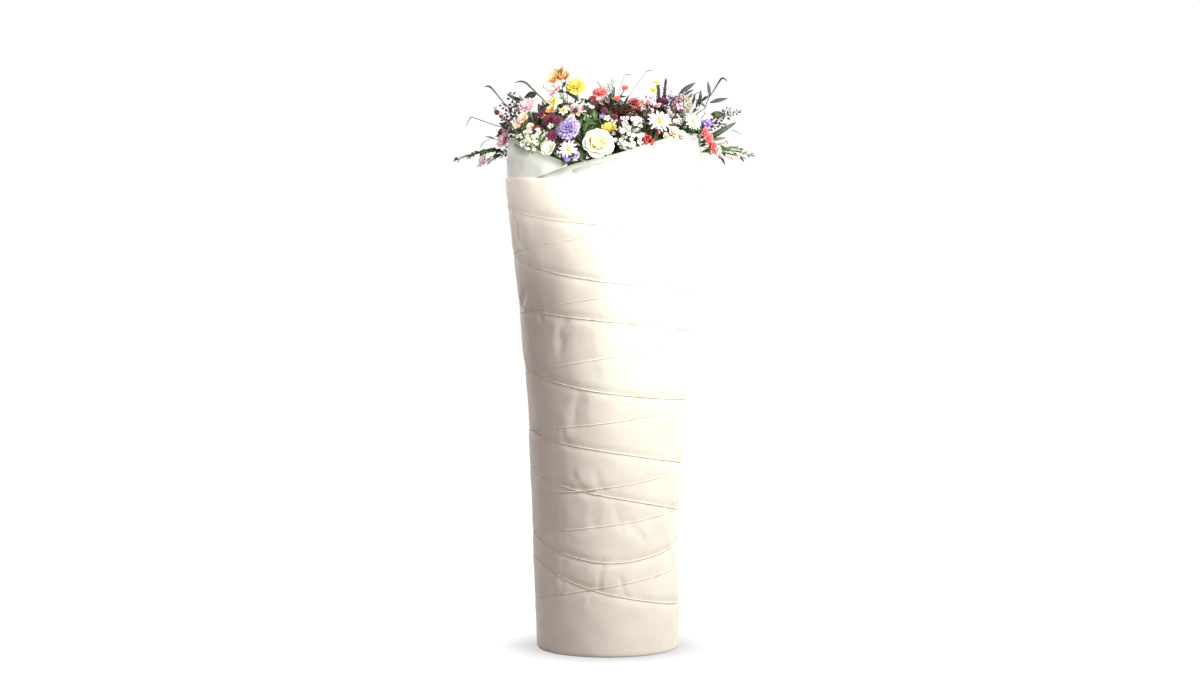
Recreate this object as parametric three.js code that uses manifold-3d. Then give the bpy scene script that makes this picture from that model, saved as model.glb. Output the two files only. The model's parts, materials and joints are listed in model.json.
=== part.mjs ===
// Mixed flower bouquet: cut flowers on a hand-tied spiral of stems, rolled in white
// tissue and heavy cream paper, with natural twine wound down the paper and up again.
//
// Millimetres, +Z up. The front of the bouquet faces -Y, and the origin is the middle
// of the paper's flat folded base. Angles round the bouquet are in degrees from the
// front, growing towards +X.

import * as THREE from "three";
import { mergeVertices } from "three/addons/utils/BufferGeometryUtils.js";
import Module from "manifold-3d";

const wasm = await Module();
wasm.setup();

// ---------------------------------------------------------------- driving dimensions

const GAP = 0.35; // left between two pieces that lie against each other
const OWN_GAP = 0.05; // between twigs of one plant
const SUNK = 1.5; // how far a root or a stem's end goes into what carries it
const TRIES = 300; // places tried for a stem or a twig, each swayed a little further
const SWAY = 0.12;
const COLUMNS = 16; // flat facets round the paper

const PAPER_THICKNESS = 1;
const BASE_THICKNESS = 2; // the folds of the base lie on each other
// Height, radius and sideways shift of the rolled paper, and of the tissue above it.
const PROFILE = [
  [0, 143, 1],
  [100, 146, -1],
  [290, 148, -4],
  [490, 159, -1],
  [690, 177, 0],
  [840, 193, 0],
  [935, 200, -5],
  [990, 199, -7],
  [1050, 190, -8],
];
const PAPER_ROWS = [0, 100, 290, 490, 690, 840];
// Angle and height along the upper edge of the cream paper.
const PAPER_EDGE = [
  [-180, 930],
  [-90, 941],
  [-50, 955],
  [-20, 949],
  [10, 927],
  [60, 916],
  [110, 920],
  [180, 930],
];

const TISSUE_THICKNESS = 0.8;
const TISSUE_GAP = 0.5; // the tissue lies loosely against the paper
const TISSUE_ROWS = [690, 840];
const TISSUE_LAP = 2.4; // how far the second layer lies inside the first
const TISSUE_START = -45; // the right flap starts here and lies outermost
const TISSUE_END = 337.5; // the left flap ends here, inside the right one
// Angle and height along the upper edge of the tissue, from flap to flap.
const TISSUE_EDGE = [
  [-45, 966],
  [-20, 984],
  [0, 997],
  [30, 1025],
  [50, 1038],
  [80, 1036],
  [112, 972],
  [180, 964],
  [248, 972],
  [272, 1016],
  [285, 1028],
  [310, 1012],
  [325, 1000],
  [338, 982],
];

const TWINE_WIDTH = 2.6;
const TWINE_GAP = 0.55; // it lies over the flat facets of the paper
const TWINE_START = -90; // angle where the twine begins, under the upper edge
const TWINE_DOWN = 32; // quarter turns down the paper, before it climbs over itself
// Height of the twine at each quarter turn.
const TWINE_HEIGHTS = [
  888, 864, 845, 820, 793, 751, 722, 706, 692, 673, 636, 602, 572, 530, 500, 472,
  448, 413, 374, 366, 363, 324, 278, 256, 239, 190, 218, 212, 195, 128, 90, 92,
  99, 142, 175, 206, 234, 264, 290, 302, 312, 340, 372, 404, 438, 470, 500, 526,
  552, 600, 628, 650, 672, 722, 752, 774, 793, 845, 862, 874,
];

const THROAT = 900; // height where the stems part and bend to their own flowers
const WAIST = 450; // height of the narrowest place, where the stems are tied
const TWIST = 139; // degrees that each stem turns round the bundle on its way up
const FOOT = BASE_THICKNESS + 0.45; // the cut ends stand on the folded base
// Rings of stems at the throat: radius, and the least angle between two of its stems.
const STEM_RINGS = [
  { radius: 50, spacing: 29, upTo: 95 },
  { radius: 92, spacing: 17, upTo: 158 },
  { radius: 133, spacing: 12, upTo: Infinity },
];
const STEM_RADIUS = 3;
const TWIG_RADIUS = 1.3;
const THIN_TWIG_RADIUS = 0.9;
const ROOT = 0.98; // share of the bent stem where its first twig grows
const ROOT_STEP = 0.1; // how much lower each further twig grows
const CLOUD_REACH = 0.6; // how far down the twigs of a cloud of florets grow
const UPPER_STEPS = 4; // straight steps in the bend of a stem
const LEAST_RADIUS = 0.58; // of a stem at its flower, as a share of its radius below
const TIE = { radius: 51.4, height: 34, thickness: 3, sides: 16 };
const DOME_CENTRE = 860; // flowers look away from this height on the axis

// ---------------------------------------------------------------- colours, as seen

const finish = (color, roughness = 0.7) =>
  new THREE.MeshStandardMaterial({ color, roughness, metalness: 0 });
const COLOURS = {
  paper: finish("#e9e2d3", 0.8),
  tissue: finish("#f4f2ef", 0.75),
  twine: finish("#a98a62", 0.95),
  raffia: finish("#c9b184", 0.9),
  stem: finish("#6f8650", 0.6),
  leaf: finish("#56704a", 0.55),
  greyLeaf: finish("#8c9c8a", 0.6),
  darkLeaf: finish("#38402f", 0.55),
  redLeaf: finish("#6a3a33", 0.55),
  cream: finish("#f1e2c4", 0.65),
  white: finish("#f3f0f4", 0.65),
  lilac: finish("#b9a3cf", 0.65),
  violet: finish("#7a5a96", 0.7),
  plum: finish("#6b3355", 0.7),
  pink: finish("#e3a0b4", 0.65),
  blush: finish("#f0cfd0", 0.65),
  peach: finish("#eeb692", 0.65),
  coral: finish("#d9694f", 0.65),
  orange: finish("#dd8a3a", 0.65),
  yellow: finish("#e6c34c", 0.65),
  crimson: finish("#8f2b3c", 0.65),
  green: finish("#a9b68b", 0.65),
};

// ---------------------------------------------------------------- small tools

const rad = THREE.MathUtils.degToRad;
const vec = (x, y, z) => new THREE.Vector3(x, y, z);

// A seeded random number from low to high, the same on every run.
let seed = 20241;
function random(low = 0, high = 1) {
  seed = (seed * 1664525 + 1013904223) % 4294967296;
  return low + ((high - low) * seed) / 4294967296;
}

// The value at x on the straight lines through the points [x, value].
function along(points, x, column = 1) {
  const last = points.findIndex((p) => p[0] >= x);
  if (last < 0) return points[points.length - 1][column];
  if (last === 0) return points[0][column];
  const [a, b] = [points[last - 1], points[last]];
  return a[column] + ((b[column] - a[column]) * (x - a[0])) / (b[0] - a[0]);
}

// A point on the rolled paper at an angle and a height, moved out by offset.
function onPaper(angle, z, offset = 0) {
  const radius = along(PROFILE, z) + offset;
  return vec(
    along(PROFILE, z, 2) + radius * Math.sin(rad(angle)),
    -radius * Math.cos(rad(angle)),
    z,
  );
}

// ---------------------------------------------------------------- solids from rings

// A closed surface through rings of points. Each ring runs counterclockwise about the
// way the rings follow each other, and a ring of one point is a tip. Where two rings
// differ, the points of one are a whole multiple of the other's.
function loft(rings) {
  const points = rings.flat();
  const faces = [];
  let start = 0;
  for (let r = 0; r + 1 < rings.length; r++) {
    const [na, nb] = [rings[r].length, rings[r + 1].length];
    const next = start + na;
    const a = (i) => start + (i % na);
    const b = (i) => next + (i % nb);
    const share = Math.max(na, nb) / Math.min(na, nb);
    for (let i = 0; i < Math.max(na, nb); i++) {
      const k = Math.floor(i / share);
      const ends = (i + 1) % share === 0;
      if (na === nb) faces.push(...quad(points, a(i), a(i + 1), b(i + 1), b(i)));
      else if (nb > na) faces.push(a(k), b(i + 1), b(i));
      else faces.push(a(i), a(i + 1), b(k));
      if (ends && nb > na && na > 1) faces.push(a(k), a(k + 1), b(i + 1));
      if (ends && nb < na && nb > 1) faces.push(a(i + 1), b(k + 1), b(k));
    }
    start = next;
  }
  faces.push(...cap(rings[0], 0, true), ...cap(rings.at(-1), start, false));
  const geometry = new THREE.BufferGeometry().setFromPoints(points);
  geometry.setIndex(faces);
  return geometry;
}

// A face of four points, split along its shorter diagonal. The two sides of a thin
// bent sheet are then split alike and don't cross.
function quad(points, a, b, c, d) {
  const short = points[a].distanceTo(points[c]) <= points[b].distanceTo(points[d]);
  return short ? [a, b, c, a, c, d] : [a, b, d, b, c, d];
}

// The flat end of a loft, split into triangles that face along it, or back.
function cap(ring, first, back) {
  if (ring.length < 3) return [];
  const normal = vec(0, 0, 0);
  ring.forEach((p, i) => normal.add(p.clone().cross(ring[(i + 1) % ring.length])));
  normal.normalize();
  const u = ring[1].clone().sub(ring[0]).normalize();
  const v = normal.clone().cross(u);
  const flat = ring.map((p) => new THREE.Vector2(p.dot(u), p.dot(v)));
  return THREE.ShapeUtils.triangulateShape(flat, []).flatMap(([a, b, c]) => {
    const area = flat[b].clone().sub(flat[a]).cross(flat[c].clone().sub(flat[a]));
    const forward = area > 0 !== back;
    return [a, forward ? b : c, forward ? c : b].map((i) => first + i);
  });
}

// The geometry as a manifold-3d solid.
function solidOf(geometry) {
  const merged = mergeVertices(geometry, 1e-4);
  return new wasm.Manifold(
    new wasm.Mesh({
      numProp: 3,
      vertProperties: new Float32Array(merged.attributes.position.array),
      triVerts: new Uint32Array(merged.index.array),
    }),
  );
}

// The unit vectors across a direction, the first as near to side as it can be.
function across(direction, side) {
  const hint = side ?? (Math.abs(direction.z) > 0.9 ? vec(1, 0, 0) : vec(0, 0, 1));
  const u = hint.clone().addScaledVector(direction, -hint.dot(direction)).normalize();
  return [u, direction.clone().cross(u)];
}

// The rings of a round rod through points, with a radius at each and its end faces
// square to first and last, and the frame at its end.
function rod(points, radii, sides, first, last) {
  const frame = new THREE.Matrix4();
  let side;
  const rings = points.map((p, i) => {
    const ahead = points[Math.min(i + 1, points.length - 1)];
    const behind = points[Math.max(i - 1, 0)];
    let direction = ahead.clone().sub(behind).normalize();
    if (i === 0 && first) direction = first;
    if (i === points.length - 1 && last) direction = last;
    const [u, v] = across(direction, side);
    side = u;
    frame.makeBasis(u, v, direction).setPosition(p);
    return ringOf(sides, radii[i]).map((q) => q.applyMatrix4(frame));
  });
  return { rings, frame };
}

// Points on a circle about Z, at one height.
function ringOf(sides, radius, z = 0, turn = 0) {
  return Array.from({ length: sides }, (_, i) => {
    const a = turn + (2 * Math.PI * i) / sides;
    return vec(radius * Math.cos(a), radius * Math.sin(a), z);
  });
}

// The matrix that stands local +Z along direction and turns local +X towards side.
function placing(at, direction, side) {
  const z = direction.clone().normalize();
  const [x, y] = across(z, side);
  return new THREE.Matrix4().makeBasis(x, y, z).setPosition(at);
}

// ---------------------------------------------------------------- petals and leaves

// A blade that grows along +Z with its upper face towards +X. Stations are [share of
// the length, half width] or [share, left half, right half]. The blade bends towards
// +X, its edges lift by the fold, and it is thickest along its rib.
function blade({ length, stations, bend = 0, fold = 0.2, thick = 1.2 }) {
  const spine = (s) => vec(bend * length * s * s, 0, length * s);
  const rings = stations.map(([s, left, right = left]) => {
    const c = spine(s);
    return [
      c.clone().add(vec(thick / 2, 0, 0)),
      c.clone().add(vec(fold * left, left, 0)),
      c.clone().add(vec(-thick / 2, 0, 0)),
      c.clone().add(vec(fold * right, -right, 0)),
    ];
  });
  return loft([[spine(0)], ...rings, [spine(1)]]);
}

const leaf = (length, half, bend) =>
  blade({ length, bend, stations: [[0.3, half], [0.68, 0.82 * half]] });
const longLeaf = (length, half) =>
  blade({ length, bend: -0.05, stations: [[0.2, 0.8 * half], [0.5, half], [0.8, 0.6 * half]] });

// How far out the points of one petal's outline lie, from notch to notch.
const POINTED = [0, 1];
const BLUNT = [0, 0.92, 1, 0.92];

// The lobed edge of a round of petals. Its height grows with the square of the radius.
function outlineRing({ petals, radius, notch, z, lift, shape = POINTED, shift = 0, ruffle = 0 }) {
  const count = petals * shape.length;
  return ringOf(count, 1).map((p, i) => {
    const share = notch + (1 - notch) * shape[(i + shift) % shape.length];
    const wave = ruffle * radius * (share > 0.9 ? (i % 4 < 2 ? 1 : -1) : 0);
    return p.multiplyScalar(radius * share).setZ(z + lift * radius * share * share + wave);
  });
}

// A flower with its petals in layers, as one closed surface: out along the underside of
// a layer to its lobed edge, back in to the valley over it, and out again. Layers are
// [share of the radius, height of the edge as a share of the radius].
function layered({ radius, petals, layers, notch, shape = POINTED, ruffle = 0, heart = 0.5 }) {
  const count = petals * shape.length;
  const [sill, rise, depth] = [1.5, 2.2, 1.6]; // of the first root, the next, a valley's floor
  const slope = layers[0][1] / layers[0][0]; // of the underside, which no valley may reach
  const rings = [];
  layers.forEach(([share, height], k) => {
    const root = sill + k * rise;
    const edge = radius * share;
    const lift = (height * radius - root) / edge;
    rings.push(outlineRing({ petals, radius: edge, notch, z: root, lift, shape, ruffle,
      shift: (k % 2) * (shape.length / 2) }));
    const next = layers[k + 1];
    if (!next) return;
    const valley = radius * next[0] * 0.42;
    rings.push(ringOf(count, valley, Math.max(root, slope * valley) + depth));
  });
  rings.push([vec(0, 0, radius * heart)]);
  return rings;
}

// A closed ring-shaped surface: the rings join each other and the last joins the first.
function loftRound(rings) {
  const count = rings[0].length;
  const faces = [];
  rings.forEach((_, r) => {
    const next = (r + 1) % rings.length;
    for (let i = 0; i < count; i++) {
      const [a, a2] = [r * count + i, r * count + ((i + 1) % count)];
      const [b, b2] = [next * count + i, next * count + ((i + 1) % count)];
      faces.push(a, a2, b2, a, b2, b);
    }
  });
  const geometry = new THREE.BufferGeometry().setFromPoints(rings.flat());
  geometry.setIndex(faces);
  return geometry;
}

// Whorls of florets up a spike, each whorl turned against the one under it.
function whorls(length, radius, count) {
  const bare = 0.3; // the share of the twig under the lowest whorl
  const rings = [ringOf(6, TWIG_RADIUS)];
  const step = (length * (1 - bare)) / count;
  for (let k = 0; k < count; k++) {
    const z = length * bare + k * step;
    const size = radius * (1 - (0.45 * k) / count);
    rings.push(ringOf(6, TWIG_RADIUS * 0.9, z));
    rings.push(ringOf(6, size, z + step * 0.55).map((p, i) =>
      (i + k) % 2 ? p.multiply(vec(0.45, 0.45, 1)) : p));
  }
  rings.push([vec(0, 0, length + radius * 0.6)]);
  return loft(rings);
}

// A leafy sprig cut as one arched blade: leaflets stand out left and right in turn.
function sprig(length, half, count) {
  const stations = [];
  for (let i = 0; i < count; i++) {
    const share = 0.22 + (0.74 * (i + 0.5)) / count;
    const size = half * Math.sin(Math.PI * (0.25 + 0.7 * share));
    stations.push([share, i % 2 ? size : TWIG_RADIUS, i % 2 ? TWIG_RADIUS : size]);
  }
  return blade({ length, stations: [[0.04, TWIG_RADIUS], ...stations],
    bend: -0.06, fold: 0.25, thick: 1.6 });
}

// ---------------------------------------------------------------- flower heads
// Each gives the rings of its upper side in the head's own frame: +Z the way it faces,
// and 0 where its stem ends. The first ring grows out of the stem, or from a point.

const roseHead = (radius) =>
  layered({ radius, petals: 5, shape: BLUNT, notch: 0.86, heart: 0.72,
    layers: [[1, 0.42], [0.86, 0.8], [0.6, 1.02], [0.34, 1.08]] });
const frilledHead = (radius, petals = 8) =>
  layered({ radius, petals, notch: 0.84, ruffle: 0.06,
    layers: [[1, 0.3], [0.86, 0.56], [0.62, 0.76], [0.36, 0.84]] });
const mumHead = (radius, petals = 11) =>
  layered({ radius, petals, notch: 0.6,
    layers: [[1, 0.25], [0.84, 0.46], [0.62, 0.6], [0.4, 0.66]] });
const doubleHead = (radius, petals = 6) =>
  layered({ radius, petals, notch: 0.62, heart: 0.3, layers: [[1, 0.42], [0.62, 0.7]] });
const cupHead = (radius, petals = 6) => [
  outlineRing({ petals, radius, notch: 0.55, z: 0, lift: 0.75 }),
  [vec(0, 0, 2.2)],
];
const starHead = (radius, petals = 6) => [
  outlineRing({ petals, radius, notch: 0.42, z: 0.6, lift: 0.3 }),
  [vec(0, 0, 2)],
];
const trumpetHead = (radius) => [
  outlineRing({ petals: 6, radius, notch: 0.4, z: 0.6, lift: 0.12 }),
  ringOf(6, radius * 0.2, 2),
  ringOf(6, radius * 0.4, radius * 0.6),
  [vec(0, 0, 1.6)],
];
const berryHead = (radius) => [
  ringOf(6, radius, radius * 0.9),
  [vec(0, 0, radius * 1.8)],
];
const budHead = (radius) => [
  ringOf(6, radius * 0.5, radius * 0.7),
  [vec(0, 0, radius * 1.9)],
];

// A round head of small florets, raised and sunk in turn over its whole surface.
function knobbedHead(radius, sides = 12, rows = 6) {
  const rings = Array.from({ length: rows }, (_, k) => {
    const a = Math.PI * (0.9 - (0.82 * (k + 0.5)) / rows);
    return ringOf(sides, 1).map((p, i) => {
      const r = radius * ((i + k) % 2 ? 1 : 0.8);
      return vec(p.x * Math.sin(a), p.y * Math.sin(a), Math.cos(a)).multiplyScalar(r)
        .add(vec(0, 0, radius * 0.85));
    });
  });
  return [...rings, [vec(0, 0, radius * 1.7)]];
}

// The rays of a daisy, and the disc that sits on them.
const RAYS = { notch: 0.36, lift: 0.08, thick: 2, disc: 0.32 };
const daisyRays = (radius, petals = 14) => [
  outlineRing({ petals, radius, notch: RAYS.notch, z: GAP + 1, lift: RAYS.lift, shape: BLUNT }),
  [vec(0, 0, GAP + RAYS.thick)],
];
function daisyDisc(radius) {
  const edge = radius * RAYS.disc;
  const rise = Math.max(0, 1 + RAYS.lift * radius - RAYS.thick) * RAYS.disc;
  const z = GAP + RAYS.thick + GAP + rise;
  return [
    ringOf(8, edge, z),
    ringOf(8, edge * 0.7, z + edge * 0.55, 0.39),
    [vec(0, 0, z + edge * 0.8)],
  ];
}

// ---------------------------------------------------------------- keeping pieces clear

const nodes = new Map(); // node name -> { material, solids }
const placed = []; // every small solid with its plant and its box

function put(plant, name, material, solid, isStem = false) {
  if (!nodes.has(name)) nodes.set(name, { material, solids: [] });
  nodes.get(name).solids.push(solid);
  placed.push({ plant, name, solid, isStem, box: solid.boundingBox() });
}

// True where the solid keeps the gap to all that belongs to other plants. Where
// it is apart, it doesn't cut its own plant's twigs and leaves either.
function isClear(plant, solid, apart) {
  const box = solid.boundingBox();
  return placed.every((other) => {
    const own = other.plant === plant;
    if (own && (!apart || other.isStem)) return true;
    const gap = own ? OWN_GAP : GAP;
    return [0, 1, 2].some((k) =>
      box.min[k] - gap > other.box.max[k] || box.max[k] + gap < other.box.min[k]) ||
      solid.minGap(other.solid, gap * 1.2) >= gap;
  });
}

const shaken = (point, sway) =>
  point.clone().add(vec(random(-sway, sway), random(-sway, sway), random(-sway, sway)));

// Adds what make gives to a plant's stem node if it is clear of everything else.
function growIfClear(p, geometry, { apart = true, isStem = false } = {}) {
  const solid = solidOf(geometry);
  const clear = isClear(p.name, solid, apart);
  if (clear) put(p.name, p.stemNode, p.stemMaterial, solid, isStem);
  return clear;
}

// Adds what make gives, swayed a little further on each try until it is clear.
function grow(p, make, options) {
  for (let k = 0; k < TRIES; k++)
    if (growIfClear(p, make(k * SWAY), options)) return;
  throw new Error(`${p.name} finds no room among the other plants`);
}

// ---------------------------------------------------------------- paper, tissue, twine

const STEP = 360 / COLUMNS;
const wrapped = (angle) => ((angle + 180) % 360) - 180;
const paperTop = (angle) => along(PAPER_EDGE, wrapped(angle));

function paperWrapper() {
  const angles = Array.from({ length: COLUMNS }, (_, i) => STEP * i);
  const ring = (height, offset) => angles.map((a) => onPaper(a, height(a), offset));
  const heights = [...PAPER_ROWS.map((z) => () => z), paperTop];
  const outer = heights.map((height) => ring(height, 0));
  const inner = heights.slice(1).map((height) => ring(height, -PAPER_THICKNESS)).reverse();
  inner.push(ring(() => 0, -PAPER_THICKNESS).map((p) => p.setZ(BASE_THICKNESS)));
  return loft([[vec(0, 0, 0)], ...outer, ...inner, [vec(0, 0, BASE_THICKNESS)]]);
}

function tissueWrapper() {
  const sections = [];
  for (let a = TISSUE_START; a <= TISSUE_END; a += STEP) {
    const share = (a - TISSUE_START) / (TISSUE_END - TISSUE_START);
    const outside = -PAPER_THICKNESS - TISSUE_GAP - TISSUE_LAP * share;
    const [low, high] = [paperTop(a), along(TISSUE_EDGE, a)];
    const heights = [...TISSUE_ROWS, low, high];
    const wall = (offset) => heights.map((z) => onPaper(a, z, offset));
    sections.push([...wall(outside - TISSUE_THICKNESS), ...wall(outside).reverse()]);
  }
  return loft(sections);
}

function woundTwine() {
  const keys = TWINE_HEIGHTS.map((z, i) => vec(i, 0, z));
  const route = new THREE.CatmullRomCurve3(keys);
  const steps = ((keys.length - 1) * COLUMNS) / 4;
  const rings = [];
  for (let i = 0; i <= steps; i++) {
    const quarter = (i * STEP) / 90;
    const { z } = route.getPoint(quarter / (keys.length - 1));
    // The way up lies on top of the way down.
    const climb = THREE.MathUtils.smoothstep(quarter, TWINE_DOWN - 2, TWINE_DOWN);
    const offset = TWINE_GAP + climb * (TWINE_WIDTH + GAP);
    const angle = TWINE_START + i * STEP;
    rings.push([
      onPaper(angle, z, offset + TWINE_WIDTH),
      onPaper(angle, z - TWINE_WIDTH * 0.55, offset),
      onPaper(angle, z + TWINE_WIDTH * 0.55, offset),
    ]);
  }
  return loft(rings);
}

// ---------------------------------------------------------------- stems

// A hand-tied bundle is a spiral: each stem is one straight line of a hyperboloid.
function stemLine(ring, angle) {
  const at = (turn, z) =>
    vec(ring.radius * Math.sin(rad(turn)), -ring.radius * Math.cos(rad(turn)), z);
  return { foot: at(angle - TWIST, FOOT), throat: at(angle, THROAT) };
}

// The raffia that ties the bundle at its waist: a plain closed band.
function stemTie() {
  const [half, outside] = [TIE.height / 2, TIE.radius + TIE.thickness];
  const section = [
    [TIE.radius, -half],
    [outside, -half],
    [outside, half],
    [TIE.radius, half],
  ];
  return loftRound(section.map(([radius, z]) => ringOf(TIE.sides, radius, WAIST + z)));
}

// Turns sorted angles apart until neighbours on the circle keep the spacing.
function spreadOut(angles, spacing) {
  const out = [...angles];
  for (let round = 0; round < 4000; round++)
    for (let i = 0; i < out.length; i++) {
      const j = (i + 1) % out.length;
      const between = out[j] + (j ? 0 : 360) - out[i];
      const push = Math.max(0, spacing - between) / 4;
      out[i] -= push;
      out[j] += push;
    }
  return out;
}

// The stem of a plant, bent above the throat towards its own flower.
function growStem(p) {
  const { foot, throat } = p.line;
  const up = throat.clone().sub(foot).normalize();
  const end = p.split ? p.at : p.at.clone().addScaledVector(p.facing, SUNK);
  const reach = throat.distanceTo(end) * 0.36;
  grow(p, (sway) => {
    const leave = shaken(throat.clone().addScaledVector(up, reach), sway);
    const arrive = shaken(end.clone().addScaledVector(p.facing, -reach), sway);
    const curve = p.rise
      ? new THREE.CatmullRomCurve3([throat, leave, shaken(vec(...p.rise), sway), end])
      : new THREE.CubicBezierCurve3(throat, leave, arrive, end);
    p.axis = curve.getPoints(UPPER_STEPS);
    const route = [foot, ...p.axis];
    const radii = route.map((_, i) =>
      STEM_RADIUS * THREE.MathUtils.lerp(1, LEAST_RADIUS, Math.max(0, i - 1) / UPPER_STEPS));
    return loft(rod(route, radii, 5, vec(0, 0, 1), p.facing).rings);
  }, { apart: false, isStem: true });
}

// The point at a share of the way up the bent part of a stem.
function onStem(p, share) {
  const at = Math.min(share, 0.999) * UPPER_STEPS;
  const i = Math.floor(at);
  return p.axis[i].clone().lerp(p.axis[i + 1], at - i);
}

// A twig from a plant's stem that opens into a floret at its tip, as one surface.
function twigTo(p, share, tip, floret, thick = TWIG_RADIUS) {
  const from = onStem(p, share);
  const facing = tip.clone().setZ(tip.z - DOME_CENTRE).normalize();
  const middle = from.clone().lerp(tip, 0.5);
  middle.z += (p.arch ?? 0.12) * from.distanceTo(tip);
  const radii = [thick, thick, thick * 0.8];
  const { rings, frame } = rod([from, middle, tip], radii, 3, undefined, facing);
  return loft([...rings, ...floret.map((ring) => ring.map((q) => q.applyMatrix4(frame)))]);
}

// The unit vector that leans from the axis by an angle, turned round it.
function leaning(axis, lean, turn) {
  const [u, v] = across(axis);
  return axis.clone().multiplyScalar(Math.cos(lean))
    .addScaledVector(u, Math.sin(lean) * Math.cos(turn))
    .addScaledVector(v, Math.sin(lean) * Math.sin(turn));
}

// ---------------------------------------------------------------- the plants
// at: where the stem ends, in its head or its fork. face: the way a head looks.
// head: the bloom, as { part: [material, rings] }. With oneNode it is one with its stem.
// tips: [x, y, z, radius] of florets on twigs. spikes: [x, y, z, radius, whorls].
// sprigs: [x, y, z, half width, leaflets]. fan: [x, y, z, half width] of long blades.
// rosette: leaves round the stem's end. cloud: many small florets, by a rule.

const plants = [];
const plant = (name, at, options) => plants.push({ name, at: vec(...at), ...options });

// The front and the top, and after them the back.
plant("rose_cream", [-18, -152, 1016], {
  face: [0.05, -0.85, 0.5],
  head: { petals: [COLOURS.cream, roseHead(33)] },
});
plant("aster_front", [-76, -187, 1012], {
  face: [-0.3, -0.85, 0.4],
  head: { rays: [COLOURS.white, daisyRays(20)], disc: [COLOURS.yellow, daisyDisc(20)] },
});
plant("daisy_large", [102, -122, 1062], {
  face: [0.25, -0.75, 0.6],
  head: { rays: [COLOURS.white, daisyRays(26, 17)], disc: [COLOURS.yellow, daisyDisc(26)] },
});
plant("daisy_right", [168, -82, 1060], {
  face: [0.55, -0.6, 0.58],
  head: { rays: [COLOURS.white, daisyRays(20)], disc: [COLOURS.yellow, daisyDisc(20)] },
});
plant("scabiosa_lilac", [-75, -150, 1047], {
  face: [-0.3, -0.75, 0.6],
  head: { petals: [COLOURS.lilac, frilledHead(24)] },
});
plant("carnation_pink", [-156, -60, 1086], {
  head: { petals: [COLOURS.pink, frilledHead(22)] },
});
plant("chrysanthemum_yellow", [-66, 10, 1126], {
  face: [-0.2, -0.35, 0.92],
  head: { petals: [COLOURS.yellow, mumHead(21)] },
});
plant("peach_rose_left", [-158, -92, 1040], {
  floret: doubleHead,
  colour: COLOURS.peach,
  tips: [[-164, -98, 1066, 12], [-176, -84, 1052, 9]],
});
plant("dianthus_plum", [-122, -108, 1020], {
  floret: doubleHead,
  colour: COLOURS.plum,
  tips: [[-114, -108, 1065, 16], [-109, -148, 1038, 11], [-142, -124, 1040, 11]],
});
plant("alstroemeria_orange", [-88, 22, 1104], {
  floret: cupHead,
  colour: COLOURS.orange,
  tips: [[-94, 20, 1150, 15], [-104, 4, 1126, 13]],
});
plant("narcissus_yellow", [-80, -44, 1050], {
  floret: trumpetHead,
  colour: COLOURS.yellow,
  tips: [[-60, -62, 1083, 14], [-106, -32, 1096, 13]],
});
plant("coral_spray", [5, -4, 1072], {
  floret: doubleHead,
  colour: COLOURS.coral,
  tips: [[-14, -2, 1110, 12], [36, 14, 1121, 8], [53, -30, 1092, 10], [20, 6, 1100, 7]],
});
plant("red_foliage", [14, -42, 1058], {
  colour: COLOURS.redLeaf,
  rosette: { count: 11, length: [28, 40], half: 7, spread: 78 },
});
plant("sweet_pea_mauve", [80, -56, 1050], {
  floret: cupHead,
  colour: COLOURS.pink,
  tips: [[74, -68, 1092, 15], [94, -50, 1088, 12], [66, -44, 1076, 10]],
});
plant("veronica_magenta", [112, -18, 1066], {
  colour: COLOURS.plum,
  spikes: [[119, -12, 1140, 6.5, 8], [101, -8, 1134, 6, 7], [132, -4, 1116, 6, 6]],
});
plant("hydrangea_mauve", [141, -42, 1072], {
  head: { florets: [COLOURS.green, knobbedHead(28)] },
  oneNode: true,
});
plant("waxflower_right", [50, -122, 996], {
  floret: starHead,
  colour: COLOURS.blush,
  cloud: { centre: [44, -158, 1034], radii: [34, 16, 24], count: 8, size: [6, 8] },
});
plant("gypsophila_left", [-134, -112, 990], {
  floret: berryHead,
  colour: COLOURS.white,
  cloud: { centre: [-146, -128, 1020], radii: [34, 22, 18], count: 12, size: [3.2, 4.6] },
});
plant("lisianthus_green", [-112, -140, 1008], {
  face: [-0.5, -0.75, 0.45],
  head: { petals: [COLOURS.green, doubleHead(17, 7)] },
  oneNode: true,
});
plant("berries_red", [80, -128, 1002], {
  floret: berryHead,
  colour: COLOURS.crimson,
  cloud: { centre: [74, -158, 1022], radii: [14, 10, 14], count: 6, size: [4, 5] },
});
plant("peach_rose_right", [124, -100, 1016], {
  floret: doubleHead,
  colour: COLOURS.peach,
  tips: [[130, -122, 1040, 12], [146, -108, 1034, 9]],
});
plant("gladiolus_coral", [180, -38, 1050], {
  floret: cupHead,
  colour: COLOURS.coral,
  arch: 0.35,
  tips: [[202, -43, 1048, 11], [213, -46, 1028, 10], [221, -47, 1007, 9]],
});
plant("statice_violet", [170, -14, 1030], {
  floret: starHead,
  colour: COLOURS.violet,
  cloud: { centre: [196, -16, 1066], radii: [15, 12, 16], count: 6, size: [5.5, 7] },
});
plant("plum_spray_right", [184, 8, 1034], {
  colour: COLOURS.plum,
  spikes: [[262, 6, 1078, 6.5, 8], [236, 14, 1058, 6, 6]],
});
plant("plum_spray_left", [-178, -34, 1036], {
  colour: COLOURS.plum,
  spikes: [[-185, -28, 1113, 7, 8], [-206, -40, 1086, 7, 6], [-204, -48, 1056, 7, 4]],
});
plant("eucalyptus_right", [156, 26, 1050], {
  colour: COLOURS.greyLeaf,
  sprigs: [[176, 20, 1134, 15, 9], [226, 34, 1134, 14, 9], [146, 44, 1116, 14, 7]],
});
plant("long_leaves_right", [176, -6, 1036], {
  colour: COLOURS.leaf,
  fan: [[254, -10, 1058, 6], [234, 2, 1078, 5.5], [226, -22, 1036, 6], [206, 2, 1092, 5]],
});
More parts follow.
